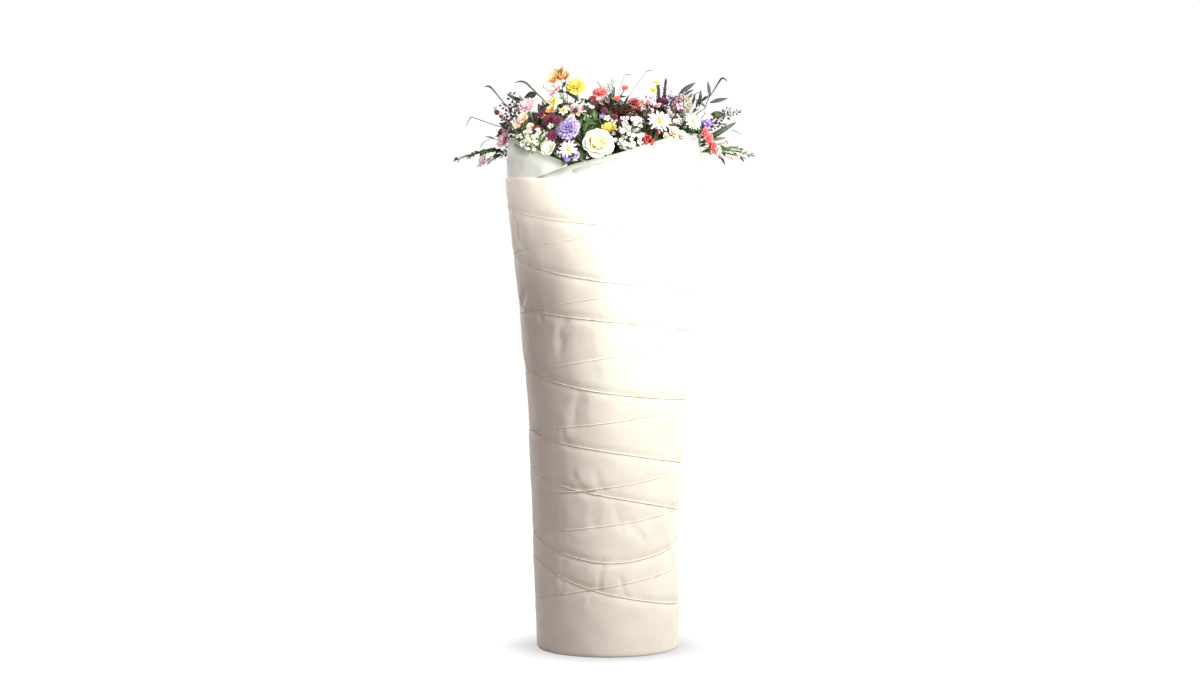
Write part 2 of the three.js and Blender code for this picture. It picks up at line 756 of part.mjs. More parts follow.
plant("trailing_right", [192, 74, 992], {
  floret: starHead,
  colour: COLOURS.greyLeaf,
  rise: [166, 64, 984],
  face: [0.9, 0.3, 0.25],
  sprigs: [[294, 72, 985, 12, 9], [264, 88, 1004, 11, 7]],
  tips: [[246, 66, 990, 8]],
});
plant("trailing_left", [-194, 72, 992], {
  floret: starHead,
  colour: COLOURS.greyLeaf,
  rise: [-168, 62, 984],
  face: [-0.9, 0.3, 0.25],
  tips: [[-252, 60, 980, 10]],
  sprigs: [[-302, 72, 984, 12, 9], [-272, 86, 1004, 11, 7]],
});
plant("dark_blades_left", [-166, 14, 1052], {
  floret: budHead,
  colour: COLOURS.darkLeaf,
  fan: [[-234, 0, 1124, 6], [-178, 40, 1132, 5.5], [-146, 30, 1120, 5]],
  arch: 0.22,
  tips: [[-279, 22, 1040, 5]],
});
plant("pink_bud_left", [-186, 4, 1040], {
  floret: budHead,
  colour: COLOURS.pink,
  tips: [[-219, 6, 1079, 8], [-206, 16, 1066, 6]],
});
plant("crimson_rim", [-190, 30, 1010], {
  floret: doubleHead,
  colour: COLOURS.crimson,
  tips: [[-208, 38, 1014, 12], [-212, 22, 1032, 8]],
});
plant("limonium_top", [14, 52, 1078], {
  colour: COLOURS.violet,
  spikes: [[2, 42, 1128, 4, 5], [14, 62, 1136, 4, 5], [38, 78, 1146, 3.4, 5],
    [80, 80, 1150, 3.4, 5]],
});
plant("rose_small_yellow", [4, -117, 1044], {
  face: [0, -0.6, 0.8],
  head: { petals: [COLOURS.cream, frilledHead(16, 7)] },
  oneNode: true,
});
plant("back_rose_peach", [30, 152, 1018], {
  head: { petals: [COLOURS.peach, roseHead(33)] },
});
plant("back_daisy", [-88, 140, 1046], {
  head: { rays: [COLOURS.white, daisyRays(24, 16)], disc: [COLOURS.yellow, daisyDisc(24)] },
});
plant("back_carnation", [112, 118, 1060], {
  head: { petals: [COLOURS.pink, frilledHead(23)] },
  oneNode: true,
});
plant("back_scabiosa", [-152, 86, 1050], {
  head: { petals: [COLOURS.lilac, frilledHead(23)] },
  oneNode: true,
});
plant("back_chrysanthemum", [60, 88, 1098], {
  head: { petals: [COLOURS.yellow, mumHead(21)] },
  oneNode: true,
});
plant("back_gypsophila", [-26, 150, 990], {
  floret: berryHead,
  colour: COLOURS.white,
  cloud: { centre: [-30, 168, 1014], radii: [38, 14, 18], count: 10, size: [3.2, 4.6] },
});
plant("back_plum_spray", [152, 84, 1004], {
  colour: COLOURS.plum,
  spikes: [[174, 102, 1046, 6.5, 6], [196, 86, 1030, 6.5, 5], [150, 122, 1030, 6.5, 5]],
});
plant("back_eucalyptus", [-118, 142, 1000], {
  colour: COLOURS.greyLeaf,
  sprigs: [[-134, 178, 1044, 15, 8], [-170, 152, 1036, 15, 8], [-94, 190, 1028, 14, 7]],
});
plant("back_waxflower", [-4, 96, 1050], {
  floret: starHead,
  colour: COLOURS.blush,
  cloud: { centre: [-8, 112, 1082], radii: [36, 24, 14], count: 6, size: [6, 8] },
});

// ---------------------------------------------------------------- growing the plants

// The wrapping and the heads stand where they are, and all else goes round them.
put("wrapping", "wrapper_outer", COLOURS.paper, solidOf(paperWrapper()));
put("wrapping", "tissue_inner", COLOURS.tissue, solidOf(tissueWrapper()));
put("wrapping", "twine_winding", COLOURS.twine, solidOf(woundTwine()));
put("tie", "stem_tie", COLOURS.raffia, solidOf(stemTie()));

for (const p of plants) {
  p.facing = p.face
    ? vec(...p.face).normalize()
    : p.at.clone().setZ(p.at.z - DOME_CENTRE).normalize();
  p.split = p.head && !p.oneNode;
  p.stemNode = p.split ? `${p.name}_stem` : p.name;
  p.stemMaterial = p.split ? COLOURS.stem : p.colour;
  let root = p.split ? GAP : -SUNK;
  for (const [part, [material, rings]] of Object.entries(p.head ?? {})) {
    p.stemMaterial ??= material;
    const head = loft([[vec(0, 0, root)], ...rings]).applyMatrix4(placing(p.at, p.facing));
    put(p.name, p.split ? `${p.name}_${part}` : p.name, material, solidOf(head));
    root += RAYS.thick + GAP;
  }
}

// The straight part of each stem: by rings, each near the angle of its own flower.
const angleOf = (at) => THREE.MathUtils.radToDeg(Math.atan2(at.x, -at.y));
for (const ring of STEM_RINGS) {
  const mine = plants
    .filter((p) => !p.line && Math.hypot(p.at.x, p.at.y) < ring.upTo)
    .sort((a, b) => angleOf(a.at) - angleOf(b.at));
  const angles = spreadOut(mine.map((p) => angleOf(p.at)), ring.spacing);
  mine.forEach((p, i) => {
    p.line = stemLine(ring, angles[i]);
  });
}
plants.forEach(growStem);

// A blade or spike that grows from the stem to a tip, the n-th one lower on the stem.
function growAlong(p, n, tip, make) {
  grow(p, (sway) => {
    const from = onStem(p, ROOT - ROOT_STEP * n);
    const way = shaken(tip, sway).sub(from);
    return make(way.length()).applyMatrix4(placing(from, way, vec(0, 0, 1)));
  }, { apart: false });
}

for (const p of plants) {
  p.tips?.forEach(([x, y, z, radius], n) => grow(p, (sway) =>
    twigTo(p, ROOT - ROOT_STEP * n, shaken(vec(x, y, z), sway), p.floret(radius))));
  p.spikes?.forEach(([x, y, z, radius, count], n) =>
    growAlong(p, n, vec(x, y, z), (length) => whorls(length, radius, count)));
  p.sprigs?.forEach(([x, y, z, half, count], n) =>
    growAlong(p, n, vec(x, y, z), (length) => sprig(length, half, count)));
  p.fan?.forEach(([x, y, z, half], n) =>
    growAlong(p, n, vec(x, y, z), (length) => longLeaf(length, half)));
}

// Rosettes: the first leaves are upright and the last ones lean out, a golden angle apart.
const GOLDEN = Math.PI * (3 - Math.sqrt(5));
for (const p of plants.filter((q) => q.rosette)) {
  const { count, length, half, spread } = p.rosette;
  for (let i = 0; i < count; i++) {
    const share = (i + 0.5) / count;
    grow(p, (sway) => {
      const turn = i * GOLDEN + random(-sway, sway);
      const way = leaning(p.facing, rad(spread) * Math.sqrt(share), turn);
      return leaf(random(...length), half, random(-0.2, 0.1))
        .applyMatrix4(placing(onStem(p, ROOT - 0.4 * share), way, p.facing));
    });
  }
}

// Clouds: florets at random places in an egg-shaped space, on thin twigs.
for (const p of plants.filter((q) => q.cloud)) {
  const { centre, radii, count, size } = p.cloud;
  for (let made = 0; made < count; ) {
    const spot = vec(random(-1, 1), random(-1, 1), random(-1, 1));
    if (spot.length() > 1) continue;
    const tip = spot.multiply(vec(...radii)).add(vec(...centre));
    const share = ROOT - (CLOUD_REACH * made) / count;
    const floret = p.floret(random(...size));
    if (growIfClear(p, twigTo(p, share, tip, floret, THIN_TWIG_RADIUS))) made++;
  }
}

// ---------------------------------------------------------------- the finished group

const bouquet = new THREE.Group();
bouquet.name = "mixed_flower_bouquet";
for (const [name, { material, solids }] of nodes) {
  const { vertProperties, numProp, triVerts } = wasm.Manifold.union(solids).getMesh();
  const geometry = new THREE.BufferGeometry();
  geometry.setAttribute("position", new THREE.BufferAttribute(vertProperties, numProp));
  geometry.setIndex(new THREE.BufferAttribute(triVerts, 1));
  geometry.computeVertexNormals();
  const piece = new THREE.Mesh(geometry, material);
  piece.name = name;
  bouquet.add(piece);
}

export default bouquet;
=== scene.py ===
import json
import math
import random

import bpy
import numpy as np
from mathutils import Matrix, Vector, noise
from mathutils.geometry import interpolate_bezier


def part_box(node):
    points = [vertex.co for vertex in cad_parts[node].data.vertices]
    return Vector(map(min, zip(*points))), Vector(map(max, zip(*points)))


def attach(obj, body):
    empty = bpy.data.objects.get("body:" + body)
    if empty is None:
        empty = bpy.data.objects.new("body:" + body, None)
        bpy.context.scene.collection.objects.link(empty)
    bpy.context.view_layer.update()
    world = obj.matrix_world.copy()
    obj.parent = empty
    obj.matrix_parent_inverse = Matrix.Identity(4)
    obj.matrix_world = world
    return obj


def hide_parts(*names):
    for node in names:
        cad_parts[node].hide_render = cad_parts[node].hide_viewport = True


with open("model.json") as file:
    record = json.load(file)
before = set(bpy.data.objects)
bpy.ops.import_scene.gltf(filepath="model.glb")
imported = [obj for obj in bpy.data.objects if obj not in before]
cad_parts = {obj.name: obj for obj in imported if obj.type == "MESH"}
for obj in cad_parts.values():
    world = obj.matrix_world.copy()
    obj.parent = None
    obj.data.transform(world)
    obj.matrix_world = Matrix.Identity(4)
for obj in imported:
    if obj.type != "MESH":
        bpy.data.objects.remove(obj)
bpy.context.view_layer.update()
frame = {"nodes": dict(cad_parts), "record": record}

# A mixed flower bouquet, rolled in white tissue and cream paper that natural twine is
# wound round. Tables are in millimetres and degrees, as on the object: the front looks
# to -Y, and angles round the bouquet start at the front and grow towards +X.
MM = 0.001

# ---------------------------------------------------------------- camera and light

CAMERA_PLACE = (-0.014, -9.0, 1.538)
CAMERA_DIP = 5.8
LENS, SENSOR = 135.8, 36.0
FLOOR_SIZE = 160.0

# Name: place, size, power and colour of each lamp, all aimed at the middle of the paper.
LAMPS = {
    "key_right": ((0.87, -0.87, 1.45), 0.6, 31.0, (0.965, 1.0, 0.965)),
    "rim_left": ((-1.5, 2.4, 1.1), 1.0, 34.0, (1.0, 0.98, 0.97)),
    "rim_right": ((1.9, 1.9, 1.5), 1.2, 50.0, (1.0, 0.99, 0.96)),
}
AIM = (0.0, 0.0, 0.62)
# More lamps with a soft cone: place, aim, power and the angle of the cone. Two are for the
# tissue, and the third is for the upper half of the paper.
SPOTS = {
    "spot_top": ((0.36, -1.93, 1.42), (-0.13, -0.14, 0.99), 140.0, 14),
    "spot_left": ((-1.2, -1.5, 1.35), (-0.17, -0.12, 0.98), 75.0, 10),
    "spot_side": ((0.98, -1.66, 1.35), (-0.14, -0.12, 0.79), 60.0, 24),
}
SPOT_COLOUR, SPOT_SIZE = (0.98, 1.0, 0.97), 0.12
WHITE = (1, 1, 1, 1)
BACKGROUND = 1.05  # how bright the room is to the eye, and then as light, with its colour
AMBIENT, AMBIENT_COLOUR = 0.42, (1.0, 0.89, 0.93, 1)
# How bright of itself the floor is at the foot of the wrapper, where it glows less as a painted
# contact shadow, and away from it, and where the one passes into the other, in metres from the
# axis.
PAINTED_SHADOW_GLOW, FLOOR_GLOW = 0.64, 0.97
PAINTED_SHADOW_FROM, PAINTED_SHADOW_TO = 0.145, 0.225


def linear(code):
    """A colour written in sRGB hex, as the linear numbers that a shader takes."""
    parts = [int(code[i:i + 2], 16) / 255 for i in (1, 3, 5)]
    turned_linear = [c / 12.92 if c <= 0.04045 else ((c + 0.055) / 1.055) ** 2.4 for c in parts]
    return (*turned_linear, 1.0)


def add(tree, kind, inputs=None, stops=None, **settings):
    """A shader node with its settings, its inputs and the stops of its ramp.

    An input is a value, a socket, or a node whose first output it takes."""
    new = tree.nodes.new("ShaderNode" + kind)
    for key, value in settings.items():
        setattr(new, key, value)
    for key, value in (inputs or {}).items():
        if isinstance(value, bpy.types.Node):
            value = value.outputs[0]
        if isinstance(value, bpy.types.NodeSocket):
            tree.links.new(value, new.inputs[key])
        else:
            new.inputs[key].default_value = value
    for i, (place, colour) in enumerate(stops or []):
        ramp = new.color_ramp.elements
        stop = ramp[i] if i < 2 else ramp.new(place)
        stop.position = place
        stop.color = linear(colour) if isinstance(colour, str) else (colour, colour, colour, 1)
    return new


def seen_apart(tree, seen, lit):
    """One shader for the eye, and the other for the light that falls on everything."""
    path = add(tree, "LightPath")
    return add(tree, "MixShader", {0: path.outputs["Is Camera Ray"], 1: lit, 2: seen})


def hang_lamp(name, kind, place, aim, power, colour):
    lamp = bpy.data.lights.new(name, kind)
    lamp.energy, lamp.color = power, colour
    holder = placed(name, lamp)
    holder.location = place
    holder.rotation_euler = (Vector(aim) - Vector(place)).to_track_quat("-Z", "Y").to_euler()
    return holder


def light_the_studio():
    """A white sweep that the floor melts into, a soft near key, two rim lights and spots."""
    world = bpy.data.worlds.new("studio")
    world.use_nodes = True
    tree = world.node_tree
    tree.nodes.clear()
    seen = add(tree, "Background", {"Color": WHITE, "Strength": BACKGROUND})
    dim = add(tree, "Background", {"Color": AMBIENT_COLOUR, "Strength": AMBIENT})
    add(tree, "OutputWorld", {"Surface": seen_apart(tree, seen, dim)})
    bpy.context.scene.world = world
    for name, (place, size, power, colour) in LAMPS.items():
        holder = hang_lamp(name, "AREA", place, AIM, power, colour)
        holder.data.shape, holder.data.size = "DISK", size
        holder.visible_camera = False
    for name, (place, aim, power, cone) in SPOTS.items():
        lamp = hang_lamp(name, "SPOT", place, aim, power, SPOT_COLOUR).data
        lamp.spot_size, lamp.spot_blend = math.radians(cone), 1.0
        lamp.shadow_soft_size = SPOT_SIZE
    bpy.ops.mesh.primitive_plane_add(size=FLOOR_SIZE)
    floor = bpy.context.object
    floor.name = "studio_floor"
    finish("white_painted_sweep", sweep_skin)
    floor.data.materials.append(materials["white_painted_sweep"])


def set_up_camera():
    camera = bpy.data.cameras.new("camera")
    camera.lens, camera.sensor_width = LENS, SENSOR
    holder = placed("camera", camera)
    holder.location = CAMERA_PLACE
    holder.rotation_euler = (math.radians(90 - CAMERA_DIP), 0, 0)
    bpy.context.scene.camera = holder
    bpy.context.scene.view_settings.view_transform = "Standard"


# ---------------------------------------------------------------- finishes

materials = {}


def finish(name, skin, *values):
    """A new material, with the surface that a skin makes from places on the object."""
    made = bpy.data.materials.new(name)
    made.use_nodes = True
    tree = made.node_tree
    tree.nodes.clear()
    surface = skin(tree, add(tree, "TexCoord").outputs, *values)
    add(tree, "OutputMaterial", {"Surface": surface})
    materials[name] = made


def sweep_skin(tree, place):
    """White paint, bright of itself so that it stays white and real shade shows only faintly,
    with a painted contact shadow: it glows less near the foot of the wrapper.
    """
    # The glow is dimmer near the axis: a painted contact shadow round the foot of the wrapper.
    way = add(tree, "VectorMath", {0: place["Object"]}, operation="LENGTH")
    glow_with_painted_shadow = add(tree, "MapRange", {"Value": way.outputs["Value"], "From Min": PAINTED_SHADOW_FROM,
                                  "From Max": PAINTED_SHADOW_TO, "To Min": PAINTED_SHADOW_GLOW, "To Max": FLOOR_GLOW})
    seen = add(tree, "BsdfPrincipled", {
        "Base Color": linear("#5a5a5a"), "Roughness": 0.9, "Specular IOR Level": 0.0,
        "Emission Color": WHITE, "Emission Strength": glow_with_painted_shadow})
    return seen_apart(tree, seen, add(tree, "BsdfDiffuse", {"Color": linear("#a5a5a5")}))


def paper_skin(tree, place):
    """Uncoated cream paper, about 90 g: matte with fine fibres, cloudy where it is thin."""
    at = place["Object"]
    clouds = add(tree, "TexNoise", {"Vector": at, "Scale": 16.0, "Detail": 5.0})
    # Fibres are 0.05 mm wide. They are drawn about 1.5 mm wide, so that they show.
    drawn = add(tree, "Mapping", {"Vector": at, "Scale": (1.0, 1.0, 0.35)})
    fibres = add(tree, "TexNoise", {"Vector": drawn, "Scale": 650.0, "Detail": 3.0})
    tint = add(tree, "ValToRGB", {"Fac": clouds}, [(0.3, "#e9dfd0"), (0.7, "#f3eadc")])
    fleck = add(tree, "MixRGB", {"Fac": 0.12, 1: tint, 2: fibres.outputs["Color"]},
                blend_type="SOFT_LIGHT")
    # Small sharp wrinkles, a few centimetres apart, left by the hands that rolled it.
    wrinkle = add(tree, "TexVoronoi", {"Vector": at, "Scale": 26.0}, feature="DISTANCE_TO_EDGE")
    soft = add(tree, "ValToRGB", {"Fac": wrinkle.outputs["Distance"]}, [(0.0, 0.0), (0.18, 1.0)])
    hint = add(tree, "TexNoise", {"Vector": at, "Scale": 9.0, "Detail": 2.0})
    where = add(tree, "ValToRGB", {"Fac": hint}, [(0.48, 0.0), (0.62, 1.0)])
    lines = add(tree, "MixRGB", {"Fac": where, 1: WHITE, 2: soft})
    coarse = add(tree, "Bump", {"Height": lines, "Strength": 0.08, "Distance": 0.0012})
    fine = add(tree, "Bump", {"Height": fibres, "Strength": 0.14, "Distance": 0.0004,
                              "Normal": coarse})
    return add(tree, "BsdfPrincipled", {"Base Color": fleck, "Roughness": 0.74,
                                        "Specular IOR Level": 0.35, "Normal": fine})


def tissue_skin(tree, place):
    """White silk tissue, about 17 g: a soft glow, a painted shade along its upper edge, and soft
    crumples.
    """
    at = place["Object"]
    crumple = add(tree, "TexVoronoi", {"Vector": at, "Scale": 34.0}, feature="DISTANCE_TO_EDGE")
    folds = add(tree, "ValToRGB", {"Fac": crumple.outputs["Distance"]},
                [(0.0, 0.0), (0.25, 1.0)])
    veil = add(tree, "TexNoise", {"Vector": at, "Scale": 22.0, "Detail": 6.0})
    tint = add(tree, "ValToRGB", {"Fac": veil}, [(0.3, "#cfd0c8"), (0.7, "#e0e0d6")])
    # The uppermost 15 mm, a single layer, is painted darker grey-green: a painted shade for the
    # shade inside.
    apart = add(tree, "SeparateXYZ", {"Vector": place["UV"]})
    painted_shade_band = add(tree, "MapRange", {"Value": apart.outputs["Y"], "From Min": 0.94,
                                    "From Max": 0.985, "To Max": 0.8})
    painted_shade_tint = add(tree, "MixRGB", {"Fac": painted_shade_band, 1: tint, 2: linear("#94978f")})
    pulp = add(tree, "TexNoise", {"Vector": at, "Scale": 800.0, "Detail": 2.0})
    coarse = add(tree, "Bump", {"Height": folds, "Strength": 0.22, "Distance": 0.0012})
    fine = add(tree, "Bump", {"Height": pulp, "Strength": 0.1, "Distance": 0.0003,
                              "Normal": coarse})
    return add(tree, "BsdfPrincipled", {
        "Base Color": painted_shade_tint, "Roughness": 0.6, "Specular IOR Level": 0.4,
        "Subsurface Weight": 0.2, "Subsurface Radius": (0.012, 0.012, 0.011),
        "Alpha": 0.95, "Normal": fine})


def twine_skin(tree, place):
    """Natural jute, three strands twisted: pale, dry, hairy and uneven in colour."""
    at = place["Object"]
    patches = add(tree, "TexNoise", {"Vector": at, "Scale": 60.0, "Detail": 4.0})
    # Fibres lie 0.1 mm apart and are drawn at about 0.8 mm.
    fibres = add(tree, "TexNoise", {"Vector": at, "Scale": 1200.0, "Detail": 2.0})
    tint = add(tree, "ValToRGB", {"Fac": patches},
               [(0.28, "#c8ad7e"), (0.75, "#f9f2e2"), (0.42, "#eadec4")])
    fuzz = add(tree, "MixRGB", {"Fac": 0.35, 1: tint, 2: fibres.outputs["Color"]},
               blend_type="OVERLAY")
    hairs = add(tree, "Bump", {"Height": fibres, "Strength": 0.5, "Distance": 0.0004})
    return add(tree, "BsdfPrincipled", {"Base Color": fuzz, "Roughness": 0.95,
                                        "Specular IOR Level": 0.15, "Normal": hairs})


# Name: colour at the root, in the middle and at the rim of a petal, its roughness, and the
# slot in the record.
PETALS = {
    "cream_rose_petal": ("#e2c258", "#f3e8bc", "#faf5e4", 0.55, "petal_cream"),
    "white_ray_petal": ("#d2d4a0", "#e6e5e1", "#f0efec", 0.55, "petal_white"),
    "lilac_ray_petal": ("#ece6f4", "#f8f5fc", "#ddd0f0", 0.55, "petal_white"),
    "lilac_frilled_petal": ("#3e3062", "#7b67a2", "#b0a0ce", 0.6, "petal_lilac"),
    "violet_papery_petal": ("#e2d6f0", "#8a68c0", "#9c82cc", 0.8, "petal_violet"),
    "plum_velvet_petal": ("#20080f", "#441428", "#742c4c", 0.75, "petal_plum"),
    "magenta_petal": ("#5a1c46", "#932f70", "#c266a0", 0.65, "petal_plum"),
    "pink_frilled_petal": ("#c24a6a", "#ea9cb0", "#fad8de", 0.6, "petal_pink"),
    "blush_waxy_petal": ("#bcc388", "#ebe3dc", "#f4efeb", 0.4, "petal_blush"),
    "pale_pink_petal": ("#dd8fa4", "#f6d2da", "#fdeeee", 0.5, "petal_pink"),
    "peach_petal": ("#e88a52", "#f6bf98", "#fce0cc", 0.6, "petal_peach"),
    "coral_petal": ("#c22c34", "#ea5550", "#f58a86", 0.55, "petal_coral"),
    "orange_petal": ("#c8741a", "#f0a03e", "#fbd49a", 0.55, "petal_orange"),
    "yellow_petal": ("#d89a10", "#f6cf30", "#fdec78", 0.6, "petal_yellow"),
    "pale_yellow_petal": ("#ecc84a", "#faf0c0", "#fefae6", 0.6, "petal_yellow"),
    "crimson_petal": ("#3c0a16", "#861a30", "#b43c50", 0.6, "petal_crimson"),
    "green_white_petal": ("#96aa68", "#e4e8cc", "#f8f8ea", 0.6, "petal_green"),
    "mauve_green_petal": ("#66704c", "#a8a38c", "#bba4a6", 0.6, "petal_green"),
    "cream_heart_petal": ("#d9ac3c", "#f2d988", "#f9eebc", 0.55, "petal_cream"),
    "golden_pollen": ("#a8940e", "#e8d42a", "#f8ee6a", 0.9, "petal_yellow"),
    "berry_skin": ("#5c0f18", "#a8202c", "#c93a3a", 0.25, "petal_crimson"),
    "dark_bud_skin": ("#231a26", "#4a2c44", "#6a3c58", 0.5, "petal_plum"),
}


def petal_skin(tree, place, root, middle, rim, roughness):
    """A living petal: a velvety skin, its colour deeper at the root, with fine veins."""
    apart = add(tree, "SeparateXYZ", {"Vector": place["UV"]})
    mottle = add(tree, "TexNoise", {"Vector": place["Object"], "Scale": 70.0, "Detail": 3.0})
    reach = add(tree, "MapRange", {"Value": mottle, "To Min": -0.16, "To Max": 0.16})
    along = add(tree, "Math", {0: apart.outputs["Y"], 1: reach}, operation="ADD")
    tint = add(tree, "ValToRGB", {"Fac": along}, [(0.04, root), (0.92, rim), (0.45, middle)])
    # A petal has 10 to 14 veins across it, which run from root to rim.
    across = add(tree, "Mapping", {"Vector": place["UV"], "Scale": (12.0, 1.2, 1)})
    veins = add(tree, "TexNoise", {"Vector": across, "Scale": 1.6, "Detail": 2.0})
    veined = add(tree, "MixRGB", {"Fac": 0.28, 1: tint, 2: veins}, blend_type="SOFT_LIGHT")
    relief = add(tree, "Bump", {"Height": veins, "Strength": 0.3, "Distance": 0.0006})
    return add(tree, "BsdfPrincipled", {
        "Base Color": veined, "Roughness": roughness, "Specular IOR Level": 0.3,
        "Sheen Weight": 0.2, "Sheen Roughness": 0.4, "Subsurface Weight": 0.12,
        "Subsurface Radius": (0.003, 0.002, 0.0015), "Normal": relief})


# Name: the leaf's own green, its paler rib, its back edge, its roughness and its slot.
LEAVES = {
    "waxy_green_leaf": ("#3a5229", "#8a9f66", "#526d3c", 0.42, "leaf_green"),
    "dark_olive_leaf": ("#1e2818", "#56614a", "#333f2a", 0.38, "leaf_dark"),
    "grey_bloomed_leaf": ("#2f3b34", "#69776e", "#48564c", 0.62, "leaf_grey"),
    "fresh_green_leaf": ("#6b8a3e", "#b4c47c", "#86a256", 0.5, "leaf_green"),
    "red_brown_leaf": ("#3c1712", "#96503e", "#63291f", 0.4, "leaf_red"),
}


def leaf_skin(tree, place, body, rib, edge, roughness):
    """A cut leaf: waxy, darker between its veins, with a pale rib down the middle."""
    apart = add(tree, "SeparateXYZ", {"Vector": place["UV"]})
    across = add(tree, "Math", {0: apart.outputs["X"], 1: 0.5}, operation="SUBTRACT")
    side = add(tree, "Math", {0: across}, operation="ABSOLUTE")
    mottle = add(tree, "TexNoise", {"Vector": place["Object"], "Scale": 90.0, "Detail": 4.0})
    tint = add(tree, "ValToRGB", {"Fac": mottle}, [(0.3, body), (0.72, edge)])
    near_rib = add(tree, "MapRange", {"Value": side, "From Min": 0.02, "From Max": 0.09,
                                      "To Min": 0.75, "To Max": 0.0})
    ribbed = add(tree, "MixRGB", {"Fac": near_rib, 1: tint, 2: linear(rib)})
    # Side veins leave the rib slanting, about 9 on each side.
    slant = add(tree, "Math", {0: apart.outputs["Y"], 1: side}, operation="SUBTRACT")
    wave = add(tree, "Math", {0: slant, 1: 56.0}, operation="MULTIPLY")
    veins = add(tree, "Math", {0: wave}, operation="SINE")
    relief = add(tree, "Bump", {"Height": veins, "Strength": 0.25, "Distance": 0.0004})
    return add(tree, "BsdfPrincipled", {
        "Base Color": ribbed, "Roughness": roughness, "Specular IOR Level": 0.45,
        "Subsurface Weight": 0.05, "Subsurface Radius": (0.001, 0.002, 0.0005),
        "Normal": relief})


def stem_skin(tree, place, low, high, roughness):
    """A living stem: ridged along its length, in patches of a darker and a paler colour."""
    at = place["Object"]
    # Ridges lie about 1 mm apart.
    drawn = add(tree, "Mapping", {"Vector": at, "Scale": (1.0, 1.0, 0.08)})
    ridges = add(tree, "TexNoise", {"Vector": drawn, "Scale": 900.0, "Detail": 2.0})
    patches = add(tree, "TexNoise", {"Vector": at, "Scale": 40.0, "Detail": 3.0})
    tint = add(tree, "ValToRGB", {"Fac": patches}, [(0.3, low), (0.7, high)])
    relief = add(tree, "Bump", {"Height": ridges, "Strength": 0.3, "Distance": 0.0003})
    return add(tree, "BsdfPrincipled", {"Base Color": tint, "Roughness": roughness,
                                        "Specular IOR Level": 0.4, "Normal": relief})


def mix_finishes():
    finish("uncoated_cream_paper", paper_skin)
    finish("white_silk_tissue", tissue_skin)
    finish("natural_jute_twine", twine_skin)
    for name, (*values, _) in PETALS.items():
        finish(name, petal_skin, *values)
    for name, (*values, _) in LEAVES.items():
        finish(name, leaf_skin, *values)
    finish("green_stem_skin", stem_skin, "#4d6534", "#87a05c", 0.5)
    finish("dark_stem_skin", stem_skin, "#2c3322", "#566042", 0.5)
    finish("dry_raffia", stem_skin, "#b3935c", "#dcc795", 0.85)


def record_slot(skin):
    """The record's slot for a skin, or the nearest one that it has."""
    slot = {**PETALS, **LEAVES}[skin][-1]
    return slot if slot in {m["slot"] for m in frame["record"]["materials"]} else "stem"


# ---------------------------------------------------------------- small tools


def mm(x, y, z):
    return Vector((x, y, z)) * MM


def deselect():
    bpy.ops.object.select_all(action="DESELECT")


def only(piece):
    """Selects one object and makes it the active one."""
    deselect()
    piece.select_set(True)
    bpy.context.view_layer.objects.active = piece


def placed(name, data):
    """A new object of that mesh or curve, in the scene."""
    made = bpy.data.objects.new(name, data)
    bpy.context.scene.collection.objects.link(made)
    return made


def reshape(piece, rule):
    """Moves every vertex to where the rule puts it."""
    for vertex in piece.data.vertices:
        vertex.co = rule(*vertex.co)


def thicken(piece, thickness, offset=0.0):
    only(piece)
    wall = piece.modifiers.new("wall", "SOLIDIFY")
    wall.thickness, wall.offset = thickness, offset
    bpy.ops.object.modifier_apply(modifier=wall.name)


def flat_grid(columns, rows):
    """A square of faces, 1 wide and 1 long."""
    deselect()
    bpy.ops.mesh.primitive_grid_add(x_subdivisions=columns, y_subdivisions=rows, size=1)
    return bpy.context.object


def copied(source, matrix):
    """A copy of a pattern with its own mesh, put in place."""
    mesh = source.data.copy()
    mesh.transform(matrix)
    return placed(source.name, mesh)


def joined(name, pieces):
    """The pieces as one smooth object of that name."""
    deselect()
    for piece in pieces:
        piece.select_set(True)
    bpy.context.view_layer.objects.active = pieces[0]
    if len(pieces) > 1:
        bpy.ops.object.join()
    whole = bpy.context.object
    whole.name = whole.data.name = name
    only(whole)
    bpy.ops.object.shade_smooth()
    return whole


def hand_over(piece, slot, *nodes):
    """The finished piece rides on the object and stands for its solids."""
    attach(piece, "root")
    if nodes:
        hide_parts(*nodes)


def spun(at, facing, size, spin=0.0):
    """The matrix that stands a bloom of unit size at a place, facing a way."""
    turn = facing.to_track_quat("Z", "Y").to_matrix().to_4x4()
    spin_matrix = Matrix.Rotation(spin, 4, "Z")
    return Matrix.Translation(at) @ turn @ spin_matrix @ Matrix.Scale(size, 4)


def laid(at, along, up, size, width=1.0):
    """The matrix that lays a leaf or petal of unit length along a direction, face up."""
    y = along.normalized()
    x = y.cross(up).normalized()
    z = x.cross(y)
    turn = Matrix((x, y, z)).transposed().to_4x4()
    return Matrix.Translation(at) @ turn @ Matrix.Diagonal((size * width, size, size, 1))


def smooth_route(points, steps):
    """Points on a smooth curve through the given ones, steps to each stretch."""
    keys = np.array([tuple(p) for p in points], float)
    keys = np.vstack([2 * keys[0] - keys[1], keys, 2 * keys[-1] - keys[-2]])
    t = np.linspace(0, 1, steps, endpoint=False)[:, None]
    out = []
    for a, b, c, d in zip(keys, keys[1:], keys[2:], keys[3:]):
        out.append(0.5 * (2 * b + (c - a) * t + (2 * a - 5 * b + 4 * c - d) * t ** 2
                          + (3 * b - a - 3 * c + d) * t ** 3))
    return np.vstack([*out, keys[-2:-1]])


